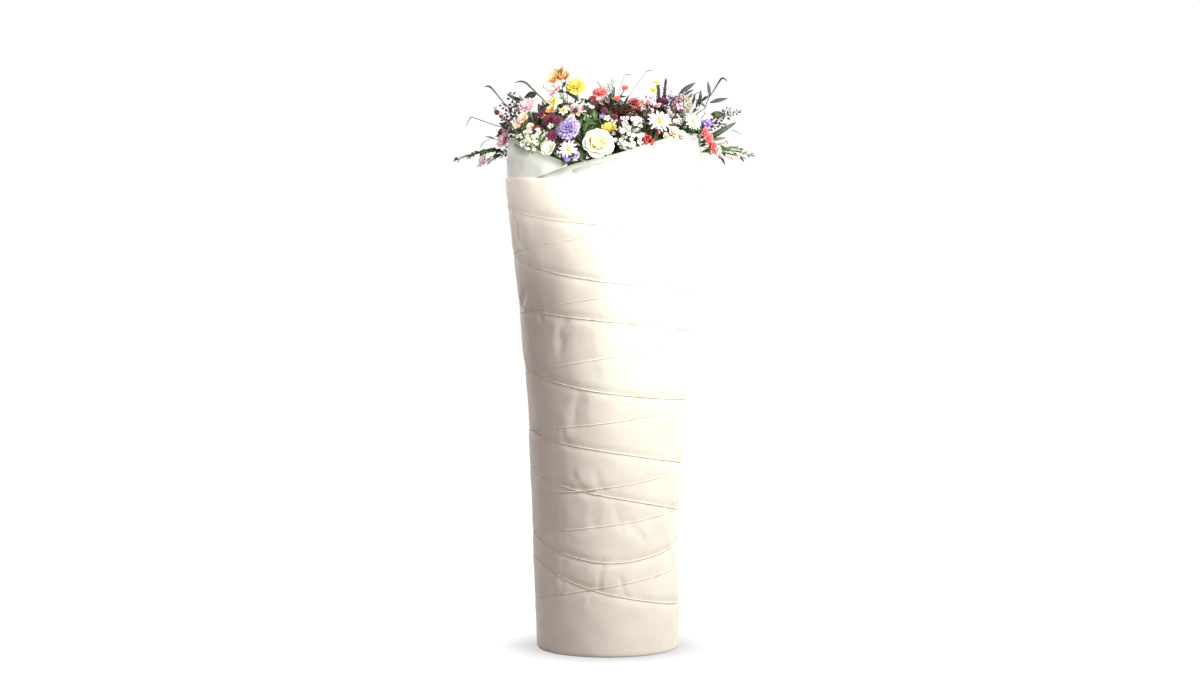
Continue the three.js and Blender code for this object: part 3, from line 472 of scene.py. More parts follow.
def tubes(name, routes, material):
    """Round rods along routes of (point, radius), as one mesh."""
    curve = bpy.data.curves.new(name, "CURVE")
    curve.dimensions, curve.bevel_depth, curve.bevel_resolution = "3D", 1.0, 1
    curve.use_fill_caps = True
    for route in routes:
        spline = curve.splines.new("POLY")
        spline.points.add(len(route) - 1)
        for point, (at, radius) in zip(spline.points, route):
            point.co = (*at, 1)
            point.radius = radius
    curve.materials.append(materials[material])
    only(placed(name, curve))
    bpy.ops.object.convert(target="MESH")
    return bpy.context.object


# ---------------------------------------------------------------- paper, tissue, twine

PAPER_THICKNESS = 0.9
PAPER_COLUMNS, PAPER_ROWS = 236, 148
# Height, radius and sideways shift of the rolled paper, and of the tissue above it.
PROFILE = np.array([
    (0, 143, 1), (100, 146, -1), (290, 148, -4), (490, 159, -1), (690, 177, 0),
    (840, 193, 0), (935, 200, -5), (990, 199, -7), (1050, 190, -8)], float)
# Angle and height along the upper edge of the paper, and of the tissue.
PAPER_EDGE = np.array([
    (-180, 930), (-90, 941), (-50, 955), (-20, 949), (10, 927), (60, 916), (110, 920),
    (180, 930)], float)
TISSUE_EDGE = np.array([
    (-45, 948), (-34, 964), (-18, 983), (0, 997), (30, 1025), (50, 1038), (80, 1036), (112, 972),
    (180, 964), (248, 972), (272, 1016), (285, 1028), (310, 1012), (325, 1000),
    (338, 982)], float)
TISSUE_THICKNESS = 0.22
TISSUE_COLUMNS, TISSUE_ROWS = 190, 44
TISSUE_FOOT = 700  # how far down the tissue reaches inside the paper
TISSUE_LAYERS = ((0.0, 0.0), (1.7, 9.0))  # how far each lies in, and how far its edge is lower
TISSUE_COIL = 3.4  # how far the end of each layer lies inside its start
TISSUE_FREE, TISSUE_CLEAR = (905, 60), (955, 40)  # crumpled, and clear of the paper: from, over
SEAM = 150.0  # the paper's outer edge runs down the back here
PAPER_LAP = 26.0  # degrees that the roll covers twice
ROLL_INSET = 2.2  # how far the start of the roll lies inside its end
EDGE_LIFT = 0.8  # how far its outer edge lifts
BASE_REACH = 138.0  # how far the paper is folded in under the base
CORNER = 4.0  # radius of that fold
PLEATS = 14  # round the base
COVER_RADIUS, COVER_LEVEL, COVER_THICKNESS = 139, 3.2, 0.6  # the folded paper inside it

TWINE_RADIUS = 0.95
TWINE_DOWN = 32  # quarter turns down, before the twine climbs over itself
TWINE_START = -90
STRANDS, STRAND_SIDES, STRAND_VALLEY = 3, 9, 0.72
STRAND_TWIST = 0.62  # radians from one point of the route to the next
CLIMBING_SEAT = 0.15  # the climbing turns lie half hidden in the creases they make
HUMP, HUMP_REACH = 1.9, 7  # where the twine crosses itself, in radii and in millimetres
# Height of the twine at each quarter turn.
TWINE_HEIGHTS = [
    888, 864, 845, 820, 793, 751, 722, 706, 692, 673, 636, 602, 572, 530, 500, 472,
    448, 413, 374, 366, 363, 324, 278, 256, 239, 190, 218, 212, 195, 128, 90, 92,
    99, 142, 175, 206, 234, 264, 290, 302, 312, 340, 372, 404, 438, 470, 500, 526,
    552, 600, 628, 650, 672, 722, 752, 774, 793, 845, 862, 874]

# Folds that the photograph shows: angle and height of both ends, depth and half width.
FOLDS = [
    (-74, 880, -62, 802, 3.4, 22), (-68, 725, -76, 690, 3.0, 12), (-50, 704, -47, 668, 2.0, 7),
    (-29, 679, -34, 605, 1.7, 13), (-18, 532, -25, 451, 1.7, 15), (-35, 454, -27, 422, 1.1, 9),
    (-8, 370, 2, 329, 1.5, 11), (-22, 372, -30, 345, 1.1, 9), (-2, 200, -8, 135, 1.6, 13),
    (9, 165, 14, 117, 1.8, 10), (-35, 194, -41, 122, 1.2, 8), (-48, 151, -45, 115, 1.2, 6),
    (-55, 259, -59, 217, 1.2, 9), (55, 869, 50, 836, 1.8, 12), (42, 619, 61, 589, 1.8, 14),
    (18, 273, 31, 231, 1.4, 12)]
LOOSE_FOLDS = 90  # more of them all round, by a rule
STRING_DENT, STRING_REACH = 2.3, 7.5  # how deep and how wide the twine presses
CLIMBING_SHARE = 0.35  # the slacker, climbing turns press this much of it


def smoothed(table, x, column, reach=45.0):
    """The column of a table at x, with its corners rounded over a reach."""
    offsets = np.linspace(-reach, reach, 9)
    return sum(np.interp(x + o, table[:, 0], table[:, column]) for o in offsets) / 9


TWINE_CURVE = smooth_route([(i, 0, z) for i, z in enumerate(TWINE_HEIGHTS)], 84)


def twine_heights(angle):
    """The heights where the twine passes an angle, from its start to its end."""
    quarters = np.arange(((angle - TWINE_START) % 360) / 90, len(TWINE_HEIGHTS) - 1, 4)
    return np.interp(quarters, TWINE_CURVE[:, 0], TWINE_CURVE[:, 2]), quarters


def all_folds():
    """The seen folds and the loose ones as rows, the loose ones near the twine."""
    draw = random.Random(11)
    folds = list(FOLDS)
    for _ in range(LOOSE_FOLDS):
        angle = draw.uniform(-180, 180)
        height = draw.choice(list(twine_heights(angle)[0])) + draw.uniform(-14, 14)
        lean, drop = draw.uniform(-14, 14), draw.uniform(18, 75) * draw.choice((-1, 1))
        depth = draw.uniform(0.4, 1.4) * draw.choice((-0.6, 1, 1))
        folds.append((angle, height, angle + lean, height + drop, depth, draw.uniform(5, 13)))
    return folds


def fold_depth(angle, height, folds):
    """How far the folds push the paper in, at arrays of angles and heights."""
    depth = np.zeros_like(height)
    for a0, z0, a1, z1, deep, half in folds:
        span = np.array(((a1 - a0) * 3.0, z1 - z0))  # 3 mm of paper to a degree
        length = np.hypot(*span)
        turned = (angle - a0 + 180) % 360 - 180
        along = (turned * 3.0 * span[0] + (height - z0) * span[1]) / length ** 2
        off = (turned * 3.0 * span[1] - (height - z0) * span[0]) / length
        end = np.clip(4.6 * (along + 0.1) * (1.1 - along), 0, 1) ** 1.4
        valley = np.exp(-(1.5 * off / half) ** 2)
        banks = np.exp(-((np.abs(off) - 1.5 * half) / half) ** 2)
        depth += deep * end * (valley - 0.3 * banks)
    return depth


def unevenness(angle, height, seed, size, amount):
    """Soft seeded waves over the rolled sheet."""
    a = np.radians(angle)
    places = np.stack([np.sin(a) * 170 / size, -np.cos(a) * 170 / size, height / size], -1)
    flat = places.reshape(-1, 3) + seed
    waves = np.array([noise.noise(Vector(p)) for p in flat]).reshape(np.shape(height))
    return amount * waves


def dent_of(angle, height, folds):
    """How far the paper lies inside its plain round form."""
    # The folds run unevenly, as creases in soft paper do.
    bent = angle + unevenness(angle, height, 41.0, 28, 5.0)
    dent = fold_depth(bent, height, folds) * (1 + unevenness(angle, height, 51.0, 22, 1.0))
    for i, a in enumerate(np.ravel(angle[0])):
        for z, quarter in zip(*twine_heights(a)):
            press = STRING_DENT * (1.0 if quarter < TWINE_DOWN else CLIMBING_SHARE)
            dent[:, i] += press * np.exp(-((height[:, i] - z) / STRING_REACH) ** 2)
    dent -= unevenness(angle, height, 3.1, 150, 2.8)
    dent -= unevenness(angle, height, 9.7, 46, 1.3)
    return dent


def rolled(angle, height, inward):
    """Points in metres on the round form, moved in by an amount."""
    radius = smoothed(PROFILE, height, 1) - inward
    return ring(np.radians(angle), radius, height, smoothed(PROFILE, height, 2))


def ring(a, radius, height, shift):
    """Points in metres at angles in radians round an axis that is shifted sideways."""
    return np.stack([shift + radius * np.sin(a), -radius * np.cos(a), height], -1) * MM


def grid_of(name, points, material):
    """A sheet with a corner at each of a block of points, rows by columns."""
    rows, columns = points.shape[:2]
    sheet = flat_grid(columns - 1, rows - 1)
    sheet.name = sheet.data.name = name
    sheet.data.vertices.foreach_set("co", points.reshape(-1))
    sheet.data.update()
    sheet.data.materials.append(materials[material])
    return sheet


def make_wrapping_paper(folds):
    """The rolled sheet, folded in under the base, with its outer edge down the back."""
    angles = SEAM + np.linspace(0, 360 + PAPER_LAP, PAPER_COLUMNS)
    turn = (angles + 180) % 360 - 180
    top = smoothed(np.vstack([PAPER_EDGE + (-360, 0), PAPER_EDGE, PAPER_EDGE + (360, 0)]),
                   turn, 1, 12)
    share = np.linspace(0, 1, PAPER_ROWS)[:, None]
    height = CORNER + share * (top[None] - CORNER)
    angle = np.broadcast_to(angles, height.shape)
    dent = dent_of(angle, height, folds) * np.clip(height / 40, 0.15, 1)
    # The covered start of the roll lies inside its end, and the edge lifts a little.
    round_share = np.linspace(0, 1, PAPER_COLUMNS)
    spiral = (1 - round_share) * ROLL_INSET
    lift = -EDGE_LIFT * np.clip((round_share - 0.985) / 0.015, 0, 1) ** 2
    wave = unevenness(angle, height, 21.0, 30, 3.0) * np.clip((share - 0.965) / 0.035, 0, 1)
    wall = rolled(angle, height, dent + spiral + lift + np.minimum(wave, 0.4))
    # Under the base the sheet is gathered in pleats towards the middle.
    under = []
    a = np.radians(angles)
    base_radius, shift = PROFILE[0, 1:]
    for reach in (BASE_REACH, 100, 60, 30, 12, CORNER):
        pleat = 0.9 + 0.8 * np.sin(a * PLEATS + reach * 0.02) * (reach / 140)
        level = np.where(reach > CORNER, pleat, 0.0)
        under.append(ring(a, base_radius - reach - spiral, level, shift))
    for bend in (30, 60):
        b = math.radians(bend)
        radius = base_radius - CORNER + CORNER * math.sin(b) - spiral
        under.append(ring(a, radius, np.full_like(a, CORNER * (1 - math.cos(b))), shift))
    points = np.concatenate([np.stack(under), wall])
    sheet = grid_of("wrapping_paper", points, "uncoated_cream_paper")
    thicken(sheet, PAPER_THICKNESS * MM, -1.0)
    close_the_base(sheet)
    hand_over(sheet, "paper", "wrapper_outer")


def close_the_base(sheet):
    """The cover of folded paper inside the base, over the gathered middle."""
    deselect()
    bpy.ops.mesh.primitive_circle_add(vertices=72, radius=COVER_RADIUS * MM, fill_type="TRIFAN",
                                      location=mm(PROFILE[0, 2], 0, COVER_LEVEL))
    cover = bpy.context.object
    cover.data.materials.append(materials["uncoated_cream_paper"])
    thicken(cover, COVER_THICKNESS * MM)
    bpy.ops.object.transform_apply()
    joined("wrapping_paper", [sheet, cover])


def make_tissue(folds):
    """Two soft layers from flap to flap, crumpled, with a wavy torn-soft upper edge."""
    angles = np.linspace(TISSUE_EDGE[0, 0], TISSUE_EDGE[-1, 0], TISSUE_COLUMNS)
    share = np.linspace(0, 1, TISSUE_ROWS)[:, None]
    round_share = np.linspace(0, 1, TISSUE_COLUMNS)[None]
    flaps = []
    for layer, (start, drop) in enumerate(TISSUE_LAYERS):
        top = smoothed(TISSUE_EDGE, angles, 1, 9) - drop
        height = TISSUE_FOOT + share * (top[None] - TISSUE_FOOT)
        angle = np.broadcast_to(angles, height.shape)
        clear = PAPER_THICKNESS + 1.0 + start + TISSUE_COIL * round_share
        free, above = (np.clip((height - low) / over, 0, 1)
                       for low, over in (TISSUE_FREE, TISSUE_CLEAR))
        crumple = unevenness(angle, height, 5.0 + layer * 8, 34, 3.4) * free
        fine = unevenness(angle, height, 15.0 + layer * 8, 13, 1.1) * free
        edge = unevenness(angle, height, 31.0 + layer * 3, 60, 9.0) * np.clip(
            (share - 0.8) / 0.2, 0, 1) ** 2
        inward = clear + dent_of(angle, height, folds) * (1 - above) + np.abs(
            crumple) + fine * above + np.clip(edge, -2.5 * above, 9)
        flaps.append(grid_of("tissue", rolled(angle, height, inward), "white_silk_tissue"))
        thicken(flaps[-1], TISSUE_THICKNESS * MM)
    hand_over(joined("tissue_flaps", flaps), "tissue", "tissue_inner")


def strand_section():
    """The outline of the three strands, as the bevel of a curve."""
    section = bpy.data.curves.new("strands", "CURVE")
    section.dimensions = "2D"
    lobes = section.splines.new("POLY")
    lobes.points.add(STRAND_SIDES - 1)
    for k, point in enumerate(lobes.points):
        a = 2 * math.pi * k / STRAND_SIDES
        radius = TWINE_RADIUS * (1.0 if k % STRANDS else STRAND_VALLEY) * MM
        point.co = (radius * math.cos(a), radius * math.sin(a), 0, 1)
    lobes.use_cyclic_u = True
    return placed("strands", section)


def make_twine(folds):
    """Three twisted strands, pressed into the paper, humped where it crosses itself."""
    quarters, heights = TWINE_CURVE[:, 0], TWINE_CURVE[:, 2]
    angles = TWINE_START + 90 * quarters
    dent = dent_of(angles[None], heights[None], folds)[0]
    round_roll = (angles - SEAM) % 360
    round_roll = np.where(round_roll < PAPER_LAP, round_roll + 360, round_roll)
    dent += ROLL_INSET * (1 - round_roll / (360 + PAPER_LAP))
    hump = np.zeros_like(heights)
    for i, (a, q) in enumerate(zip(angles, quarters)):
        if q > TWINE_DOWN - 1:
            others, passed = twine_heights(a)
            near = others[passed < TWINE_DOWN - 1] - heights[i]
            hump[i] = np.exp(-(np.abs(near).min() / HUMP_REACH) ** 2) if len(near) else 0
    seat = np.where(quarters > TWINE_DOWN, CLIMBING_SEAT, 1.0)
    points = rolled(angles, heights, dent - TWINE_RADIUS * (seat + HUMP * hump))
    # The end is tied in a small knot round the strand under it.
    knot = [Vector(points[-1]) + mm(math.cos(t) * 3.4, 2.2 + math.sin(t) * 2.6, t * 0.55)
            for t in np.linspace(0, 4 * math.pi, 30)]
    route = [*points, *knot]
    curve = bpy.data.curves.new("twine", "CURVE")
    curve.dimensions = "3D"
    bevel = strand_section()
    curve.bevel_mode, curve.bevel_object = "OBJECT", bevel
    curve.use_fill_caps = True
    spline = curve.splines.new("POLY")
    spline.points.add(len(route) - 1)
    for k, (point, at) in enumerate(zip(spline.points, route)):
        point.co = (*at, 1)
        point.tilt = k * STRAND_TWIST
    curve.materials.append(materials["natural_jute_twine"])
    only(placed("wound_twine", curve))
    bpy.ops.object.convert(target="MESH")
    twine = bpy.context.object
    bpy.data.objects.remove(bevel)
    bpy.ops.object.shade_smooth()
    hand_over(twine, "twine", "twine_winding")


RAFFIA_TURNS, RAFFIA_RADIUS = 9, 1.7


def make_raffia_tie():
    """The band round the stems: flat raffia strands wound over each other."""
    low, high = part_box("stem_tie")
    radius, middle = (high.x - low.x) / 2 - 1.6 * MM, (low.z + high.z) / 2
    half = (high.z - low.z) / 2
    draw = random.Random(4)
    turn = [2 * math.pi * i / 48 for i in range(49)]
    routes = []
    for k in range(RAFFIA_TURNS):
        lean, level = draw.uniform(-3, 3) * MM, middle + half * (k / 4.5 - 0.9)
        out = radius + draw.uniform(-0.5, 0.8) * MM
        routes.append([(Vector((out * math.cos(t), out * math.sin(t),
                                level + lean * math.sin(t))), RAFFIA_RADIUS * MM) for t in turn])
    tie = tubes("raffia_tie", routes, "dry_raffia")
    hand_over(joined("raffia_tie", [tie]), "raffia", "stem_tie")


# ---------------------------------------------------------------- patterns of petals
# Each is made once at unit size, looks along +Z, and is copied to where it grows.

patterns = {}
roles = [bpy.data.materials.new(f"role_{k}") for k in range(3)]

# A petal: half widths from root to tip, faces across, cup, rise, lip, ruffle, notch and
# thickness. Then rounds of it: (count, tilt, size, distance from the axis, turn) each.
BROAD_PETAL = [0.16, 0.44, 0.62, 0.66, 0.56, 0.3]
STAMEN = ([0.012, 0.012, 0.02, 0.035], 2, 0.1, 0.2)
HEADS = {
    "rose": [
        ((BROAD_PETAL, 5, 0.35, 0.16, -0.2, 0.02),
         [(5, 18, 1.0, 0.04, 0.0), (5, 36, 0.94, 0.05, 0.5)]),
        ((BROAD_PETAL, 5, 0.45, 0.26, -0.08, 0.015),
         [(6, 52, 0.84, 0.06, 0.2), (6, 64, 0.72, 0.07, 0.7), (5, 74, 0.6, 0.07, 0.1),
          (5, 82, 0.5, 0.06, 0.6), (4, 88, 0.42, 0.04, 0.3), (3, 92, 0.34, 0.02, 0.8)])],
    "spray_rose": [
        (([0.18, 0.46, 0.6, 0.5, 0.26], 4, 0.4, 0.2, -0.1),
         [(5, 20, 1.0, 0.03, 0.0), (5, 44, 0.86, 0.05, 0.5), (5, 64, 0.66, 0.06, 0.2),
          (4, 80, 0.5, 0.05, 0.6), (3, 90, 0.36, 0.02, 0.1)])],
    "carnation": [
        (([0.08, 0.2, 0.36, 0.46, 0.44], 7, 0.25, 0.06, 0.0, 0.07),
         [(8, 14, 1.0, 0.02, 0.0), (8, 32, 0.95, 0.03, 0.5), (8, 50, 0.86, 0.04, 0.2),
          (7, 66, 0.76, 0.04, 0.7), (6, 80, 0.66, 0.03, 0.4), (4, 90, 0.56, 0.02, 0.0)])],
    "frilled": [
        (([0.07, 0.14, 0.22, 0.27, 0.2], 4, 0.5, 0.1, -0.14, 0.06, 0.12),
         [(11, 6, 1.0, 0.04, 0.0), (10, 24, 0.92, 0.05, 0.5), (9, 44, 0.8, 0.05, 0.2),
          (7, 64, 0.66, 0.04, 0.7)]),
        (([0.012, 0.014, 0.03, 0.04], 2, 0.1, 0.1),
         [(9, 62, 0.8, 0.05, 0.1), (8, 78, 0.74, 0.04, 0.6)])],
    "daisy": [(([0.05, 0.1, 0.13, 0.13, 0.1, 0.03], 2, 0.5, -0.06),
               [(14, 4, 1.0, 0.03, 0.0), (11, 15, 0.92, 0.03, 0.5)])],
    "aster": [(([0.04, 0.085, 0.11, 0.1, 0.035], 2, 0.5, -0.12),
               [(12, 6, 1.0, 0.03, 0.0), (7, 20, 0.88, 0.03, 0.5)])],
    "chrysanthemum": [
        (([0.06, 0.12, 0.15, 0.14, 0.07], 2, 0.6, 0.1),
         [(15, 6, 1.0, 0.02, 0.0), (14, 22, 0.93, 0.03, 0.5), (12, 40, 0.8, 0.04, 0.2),
          (10, 58, 0.64, 0.05, 0.7), (8, 76, 0.5, 0.04, 0.4)])],
    "double": [
        (([0.14, 0.36, 0.5, 0.4], 4, 0.3, 0.1, -0.08, 0.05),
         [(6, 12, 1.0, 0.02, 0.0), (6, 38, 0.82, 0.04, 0.5), (5, 64, 0.6, 0.04, 0.2),
          (3, 84, 0.44, 0.02, 0.0)])],
    "lily": [(([0.1, 0.2, 0.26, 0.18, 0.03], 2, 0.5, 0.36, -0.22),
              [(3, 30, 1.0, 0.03, 0.0), (3, 38, 1.04, 0.03, 0.5)]),
             (STAMEN, [(6, 66, 0.66, 0.02, 0.25)])],
    "floret": [(([0.14, 0.32, 0.44, 0.38, 0.1], 4, 0.35, 0.3, -0.24, 0.03),
                [(3, 26, 1.0, 0.05, 0.0), (3, 36, 1.02, 0.05, 0.5)]),
               (STAMEN, [(5, 68, 0.7, 0.02, 0.25)])],
    "star": [(([0.2, 0.36, 0.26], 2, 0.3, 0.12, 0.0, 0.0, 0.1, 0.03), [(5, 14, 1.0, 0.04, 0.0)])],
    "narcissus": [(([0.14, 0.3, 0.32, 0.2, 0.03], 2, 0.25, -0.05),
                   [(3, 6, 1.0, 0.04, 0.0), (3, 12, 0.95, 0.04, 0.5)]),
                  (([0.14, 0.17, 0.24], 3, 0.9, 0.0, -0.12, 0.05), [(8, 74, 0.5, 0.16, 0.0)])],
    "sweet_pea": [(([0.1, 0.45, 0.6, 0.4], 4, -0.15, 0.16, -0.1, 0.04, 0.2),
                   [(1, 78, 1.0, 0.02, 0.5)]),
                  (([0.1, 0.34, 0.4, 0.2], 3, 0.6, 0.15), [(2, 42, 0.72, 0.02, 0.25)])],
    "puff": [(([0.22, 0.4, 0.3], 1, 0.3, 0.2, 0.0, 0.0, 0.0, 0.06),
              [(4, 24, 1.0, 0.05, 0.0), (3, 66, 0.86, 0.05, 0.5)])],
    "four": [(([0.16, 0.46, 0.4], 2, 0.12, 0.06, 0.0, 0.0, 0.0, 0.03), [(4, 8, 1.0, 0.03, 0.0)])],
    "daisy_heart": [],
}
# A dome of pegs in the middle of a head: how many, its radius and height, size and sides.
HEARTS = {"star": (6, 0.12, 0.1, 0.16, 4), "daisy_heart": (80, 0.24, 0.12, 0.062, 5)}
# Leaves lie along +Y with their upper face to +Z.
LEAF_SHAPES = {
    "oval_leaf": ([0.02, 0.2, 0.27, 0.24, 0.14, 0.01], 4, 0.35, -0.14, 0.0, 0.008),
    "willow_leaf": ([0.02, 0.08, 0.11, 0.1, 0.06, 0.005], 2, 0.4, -0.12, 0.0, 0.0, 0.0, 0.012),
    "strap_leaf": ([0.02, 0.035, 0.042, 0.042, 0.04, 0.034, 0.024, 0.002], 2, 0.7, -0.16,
                   0.0, 0.0, 0.0, 0.006),
    "round_leaf": ([0.03, 0.34, 0.42, 0.3, 0.04], 3, 0.25, -0.1)}
# Round forms: segments, and the rule that puts each vertex of a ball of radius 1.
ROUND_FORMS = {
    "berry": (10, lambda x, y, z: (x, y, z + 1 - 0.25 * max(0.0, z) * (1 - x * x - y * y))),
    "bud": (8, lambda x, y, z: (x * (1 - 0.5 * max(0.0, z)), y * (1 - 0.5 * max(0.0, z)),
                                1.4 * (z + 1)))}


def petal(widths, columns, cup, rise=0.0, lip=0.0, ruffle=0.0, notch=0.0, thickness=0.022):
    """A petal 1 long, with half widths at even shares of it, cupped and curved up."""
    rows = len(widths) - 1
    sheet = flat_grid(columns, rows)
    reshape(sheet, lambda x, y, z: (2 * x, y + 0.5, z))  # -1 to 1 across, 0 to 1 along

    def rule(x, y, z):
        half = widths[round(y * rows)]
        late = max(0.0, y - 0.6) / 0.4
        wave = ruffle * late * (1 if round((x + 1) * columns / 2) % 2 else -1)
        end = 1 - notch * late * (1 - abs(x))
        return x * half, y * end, cup * half * x * x + rise * y * y + lip * late ** 2 + wave

    reshape(sheet, rule)
    thicken(sheet, thickness)
    return sheet


def whorls(source, layers):
    """Rounds of one petal, each a little uneven."""
    out = []
    for k, (count, tilt, size, root, turn) in enumerate(layers):
        draw = random.Random(k)
        for i in range(count):
            spin = Matrix.Rotation(2 * math.pi * (i + turn) / count + draw.uniform(-0.06, 0.06),
                                   4, "Z")
            lean = Matrix.Rotation(math.radians(tilt + draw.uniform(-5, 5)), 4, "X")
            scale = Matrix.Scale(size * draw.uniform(0.93, 1.05), 4)
            out.append(copied(source, spin @ Matrix.Translation((0, root, 0)) @ lean @ scale))
    bpy.data.objects.remove(source)
    return joined("whorls", out)


def heart_of(points, radius, height, size, sides):
    """A dome of small pegs in a sunflower's order."""
    deselect()
    bpy.ops.mesh.primitive_cone_add(vertices=sides, radius1=0.5, radius2=0.28, depth=1.0)
    peg = bpy.context.object
    out = []
    for i in range(points):
        share = math.sqrt((i + 0.5) / points)
        turn = i * math.pi * (3 - math.sqrt(5))
        at = Vector((radius * share * math.cos(turn), radius * share * math.sin(turn),
                     height * (1 - share ** 2)))
        up = Vector((at.x * 0.6, at.y * 0.6, radius)).normalized()
        out.append(copied(peg, spun(at, up, size)))
    bpy.data.objects.remove(peg)
    return joined("heart", out)


def keep(name, *pieces):
    """Files a finished pattern: each of its pieces can take a skin of its own."""
    for k, piece in enumerate(pieces):
        piece.data.materials.clear()
        piece.data.materials.append(roles[k])
    whole = joined("pattern_" + name, list(pieces))
    bpy.context.scene.collection.objects.unlink(whole)
    patterns[name] = whole


def make_patterns():
    for name, parts in HEADS.items():
        pieces = [whorls(petal(*shape), layers) for shape, layers in parts]
        if name in HEARTS:
            pieces.append(heart_of(*HEARTS[name]))
        keep(name, *pieces)
    for name, (segments, rule) in ROUND_FORMS.items():
        deselect()
        bpy.ops.mesh.primitive_uv_sphere_add(segments=segments, ring_count=8, radius=1)
        form = bpy.context.object
        reshape(form, rule)
        keep(name, form)
    for name, shape in LEAF_SHAPES.items():
        keep(name, petal(*shape))


def patch(pattern, matrix, *skins):
    """A copy of a pattern in place, in the colours of its own plant."""
    copy = copied(patterns[pattern], matrix)
    for k in range(len(copy.data.materials)):
        copy.data.materials[k] = materials[skins[min(k, len(skins) - 1)]]
    return copy


# ---------------------------------------------------------------- how plants grow

THROAT, TWIST = 0.9, 139.0  # where the stems part, and how far each turns on its way up
STEM_RADIUS, TWIG_RADIUS, THREAD_RADIUS = 0.0029, 0.0011, 0.00065
STRAIGHT, BENT, BEND_REACH = 5, 14, 0.36  # points of a stem, and how stiffly it bends
THINNER, THINNER_RISING = 0.45, 0.7  # the share that the bent part loses
TWIG_STEPS = 6
NEXT_TURN = 2.4  # radians from one leaf or floret to the next round a stem
SPIKE_FROM, LEAVES_FROM = 0.3, 0.35  # the bare share of a shoot and of a stem
SPIN = 6  # up to how far a floret is spun, in radians
DOME_CENTRE = mm(0, 0, 860)
UP = Vector((0, 0, 1))


def outward(at):
    return (at - DOME_CENTRE).normalized()


def cad_foot(node):
    """The cut end of the stem of a node, on the folded base."""
    points = np.array([v.co for v in frame["nodes"][node].data.vertices])
    low = points[points[:, 2] < points[:, 2].min() + 0.5 * MM]
    return Vector(low.mean(0))


def stem_route(node, at, facing, rise=None):
    """Straight up the spiral to the throat, and from there bent to the flower."""
    foot = cad_foot(node)
    throat = Matrix.Rotation(math.radians(TWIST), 3, "Z") @ foot
    throat.z = THROAT
    up = (throat - foot).normalized()
    reach = (at - throat).length * BEND_REACH
    if rise:
        bend = [Vector(p) for p in smooth_route([throat, throat + up * reach, rise, at], 6)]
    else:
        bend = interpolate_bezier(throat, throat + up * reach, at - facing * reach, at, BENT)
    straight = [foot.lerp(throat, k / STRAIGHT) for k in range(STRAIGHT)]
    thinner = THINNER_RISING if rise else THINNER
    radii = [STEM_RADIUS] * STRAIGHT + [STEM_RADIUS * (1 - thinner * k / len(bend))
                                        for k in range(len(bend))]
    return list(zip([*straight, *bend], radii))


def on_route(route, share):
    """The place and the direction at a share of the bent part of a stem."""
    bend = [p for p, _ in route[STRAIGHT:]]
    at = min(max(share, 0.0), 0.999) * (len(bend) - 1)
    i = int(at)
    return bend[i].lerp(bend[i + 1], at - i), (bend[i + 1] - bend[i]).normalized()


def twig(start, end, radius, arch=0.12):
    """A thin side shoot that rises a little on its way."""
    middle = start.lerp(end, 0.5) + UP * arch * (end - start).length
    out = []
    for k in range(TWIG_STEPS + 1):
        t = k / TWIG_STEPS
        at = start * (1 - t) ** 2 + middle * 2 * t * (1 - t) + end * t * t
        out.append((at, radius * (1 - 0.45 * t)))
    return out


def direction_at(route, k):
    a, b = route[max(0, k - 1)][0], route[min(len(route) - 1, k + 1)][0]
    return (b - a).normalized()


def on_shoot(route, share):
    """The place and the direction at a share of a shoot."""
    k = share * (len(route) - 1)
    i = int(k)
    return route[i][0].lerp(route[min(i + 1, len(route) - 1)][0], k % 1), direction_at(route, i)


def square_to(axis, turn):
    """A direction square to an axis, turned round it."""
    side = axis.orthogonal().normalized()
    side.rotate(Matrix.Rotation(turn, 3, axis))
    return side


def spike_on(route, pattern, skins, radius, count, draw, stand=0.0):
    """Florets in a spiral up a shoot, smaller towards its tip, on it or off it."""
    out = []
    for i in range(count):
        at, along = on_shoot(route, SPIKE_FROM + (1 - SPIKE_FROM) * i / count)
        turn = i * NEXT_TURN + draw.uniform(-0.2, 0.2)
        way = (square_to(along, turn) + along * 0.55).normalized()
        size = radius * (1 - 0.45 * i / count) * draw.uniform(0.75, 1.15)
        spot = at + way * size * stand * draw.uniform(0.6, 1.4)
        out.append(patch(pattern, spun(spot, way, size, turn), *skins))
    out.append(patch(pattern, spun(route[-1][0], direction_at(route, len(route) - 1),
                                   radius * 0.4), *skins))
    return out


def leaves_on(route, pattern, skin, length, count, draw, bare=0.15, reach=1.0):
    """Leaves left and right in turn along a shoot, and one at its tip if it is bare."""
    out = []
    for i in range(count):
        share = bare + (reach - bare) * (i + 0.5) / count
        at, along = on_shoot(route, share)
        side = along.cross(UP if abs(along.z) < 0.9 else Vector((0, 1, 0))).normalized()
        side.rotate(Matrix.Rotation(draw.uniform(-1.2, 1.2), 3, along))
        if i % 2:
            side.negate()
        way = (along + side * 0.9).normalized()
        size = length * (1 - 0.3 * abs(2 * share - 1)) * draw.uniform(0.8, 1.12)
        up = UP + outward(at) * 0.6 + Vector([draw.uniform(-0.8, 0.8) for _ in range(3)])
        out.append(patch(pattern, laid(at, way, up.normalized(), size), skin))
    if reach == 1.0:
        tip = direction_at(route, len(route) - 1)
        out.append(patch(pattern, laid(route[-1][0], tip, outward(route[-1][0]), length * 0.8),
                         skin))
    return out


def leafy(route, draw, kinds, count, high):
    """Leaves up the bent part of a stem, which stand out all round it."""
    out = []
    for i in range(count):
        at, along = on_route(route, LEAVES_FROM + (high - LEAVES_FROM) * (i + draw.random())
                             / count)
        side = square_to(along, i * NEXT_TURN + draw.uniform(-0.4, 0.4))
        way = (side + along * draw.uniform(0.4, 1.1)).normalized()
        pattern, skin, length = draw.choice(kinds)
        out.append(patch(pattern, laid(at, way, outward(at), length * draw.uniform(0.8, 1.2)),
                         skin))
    return out


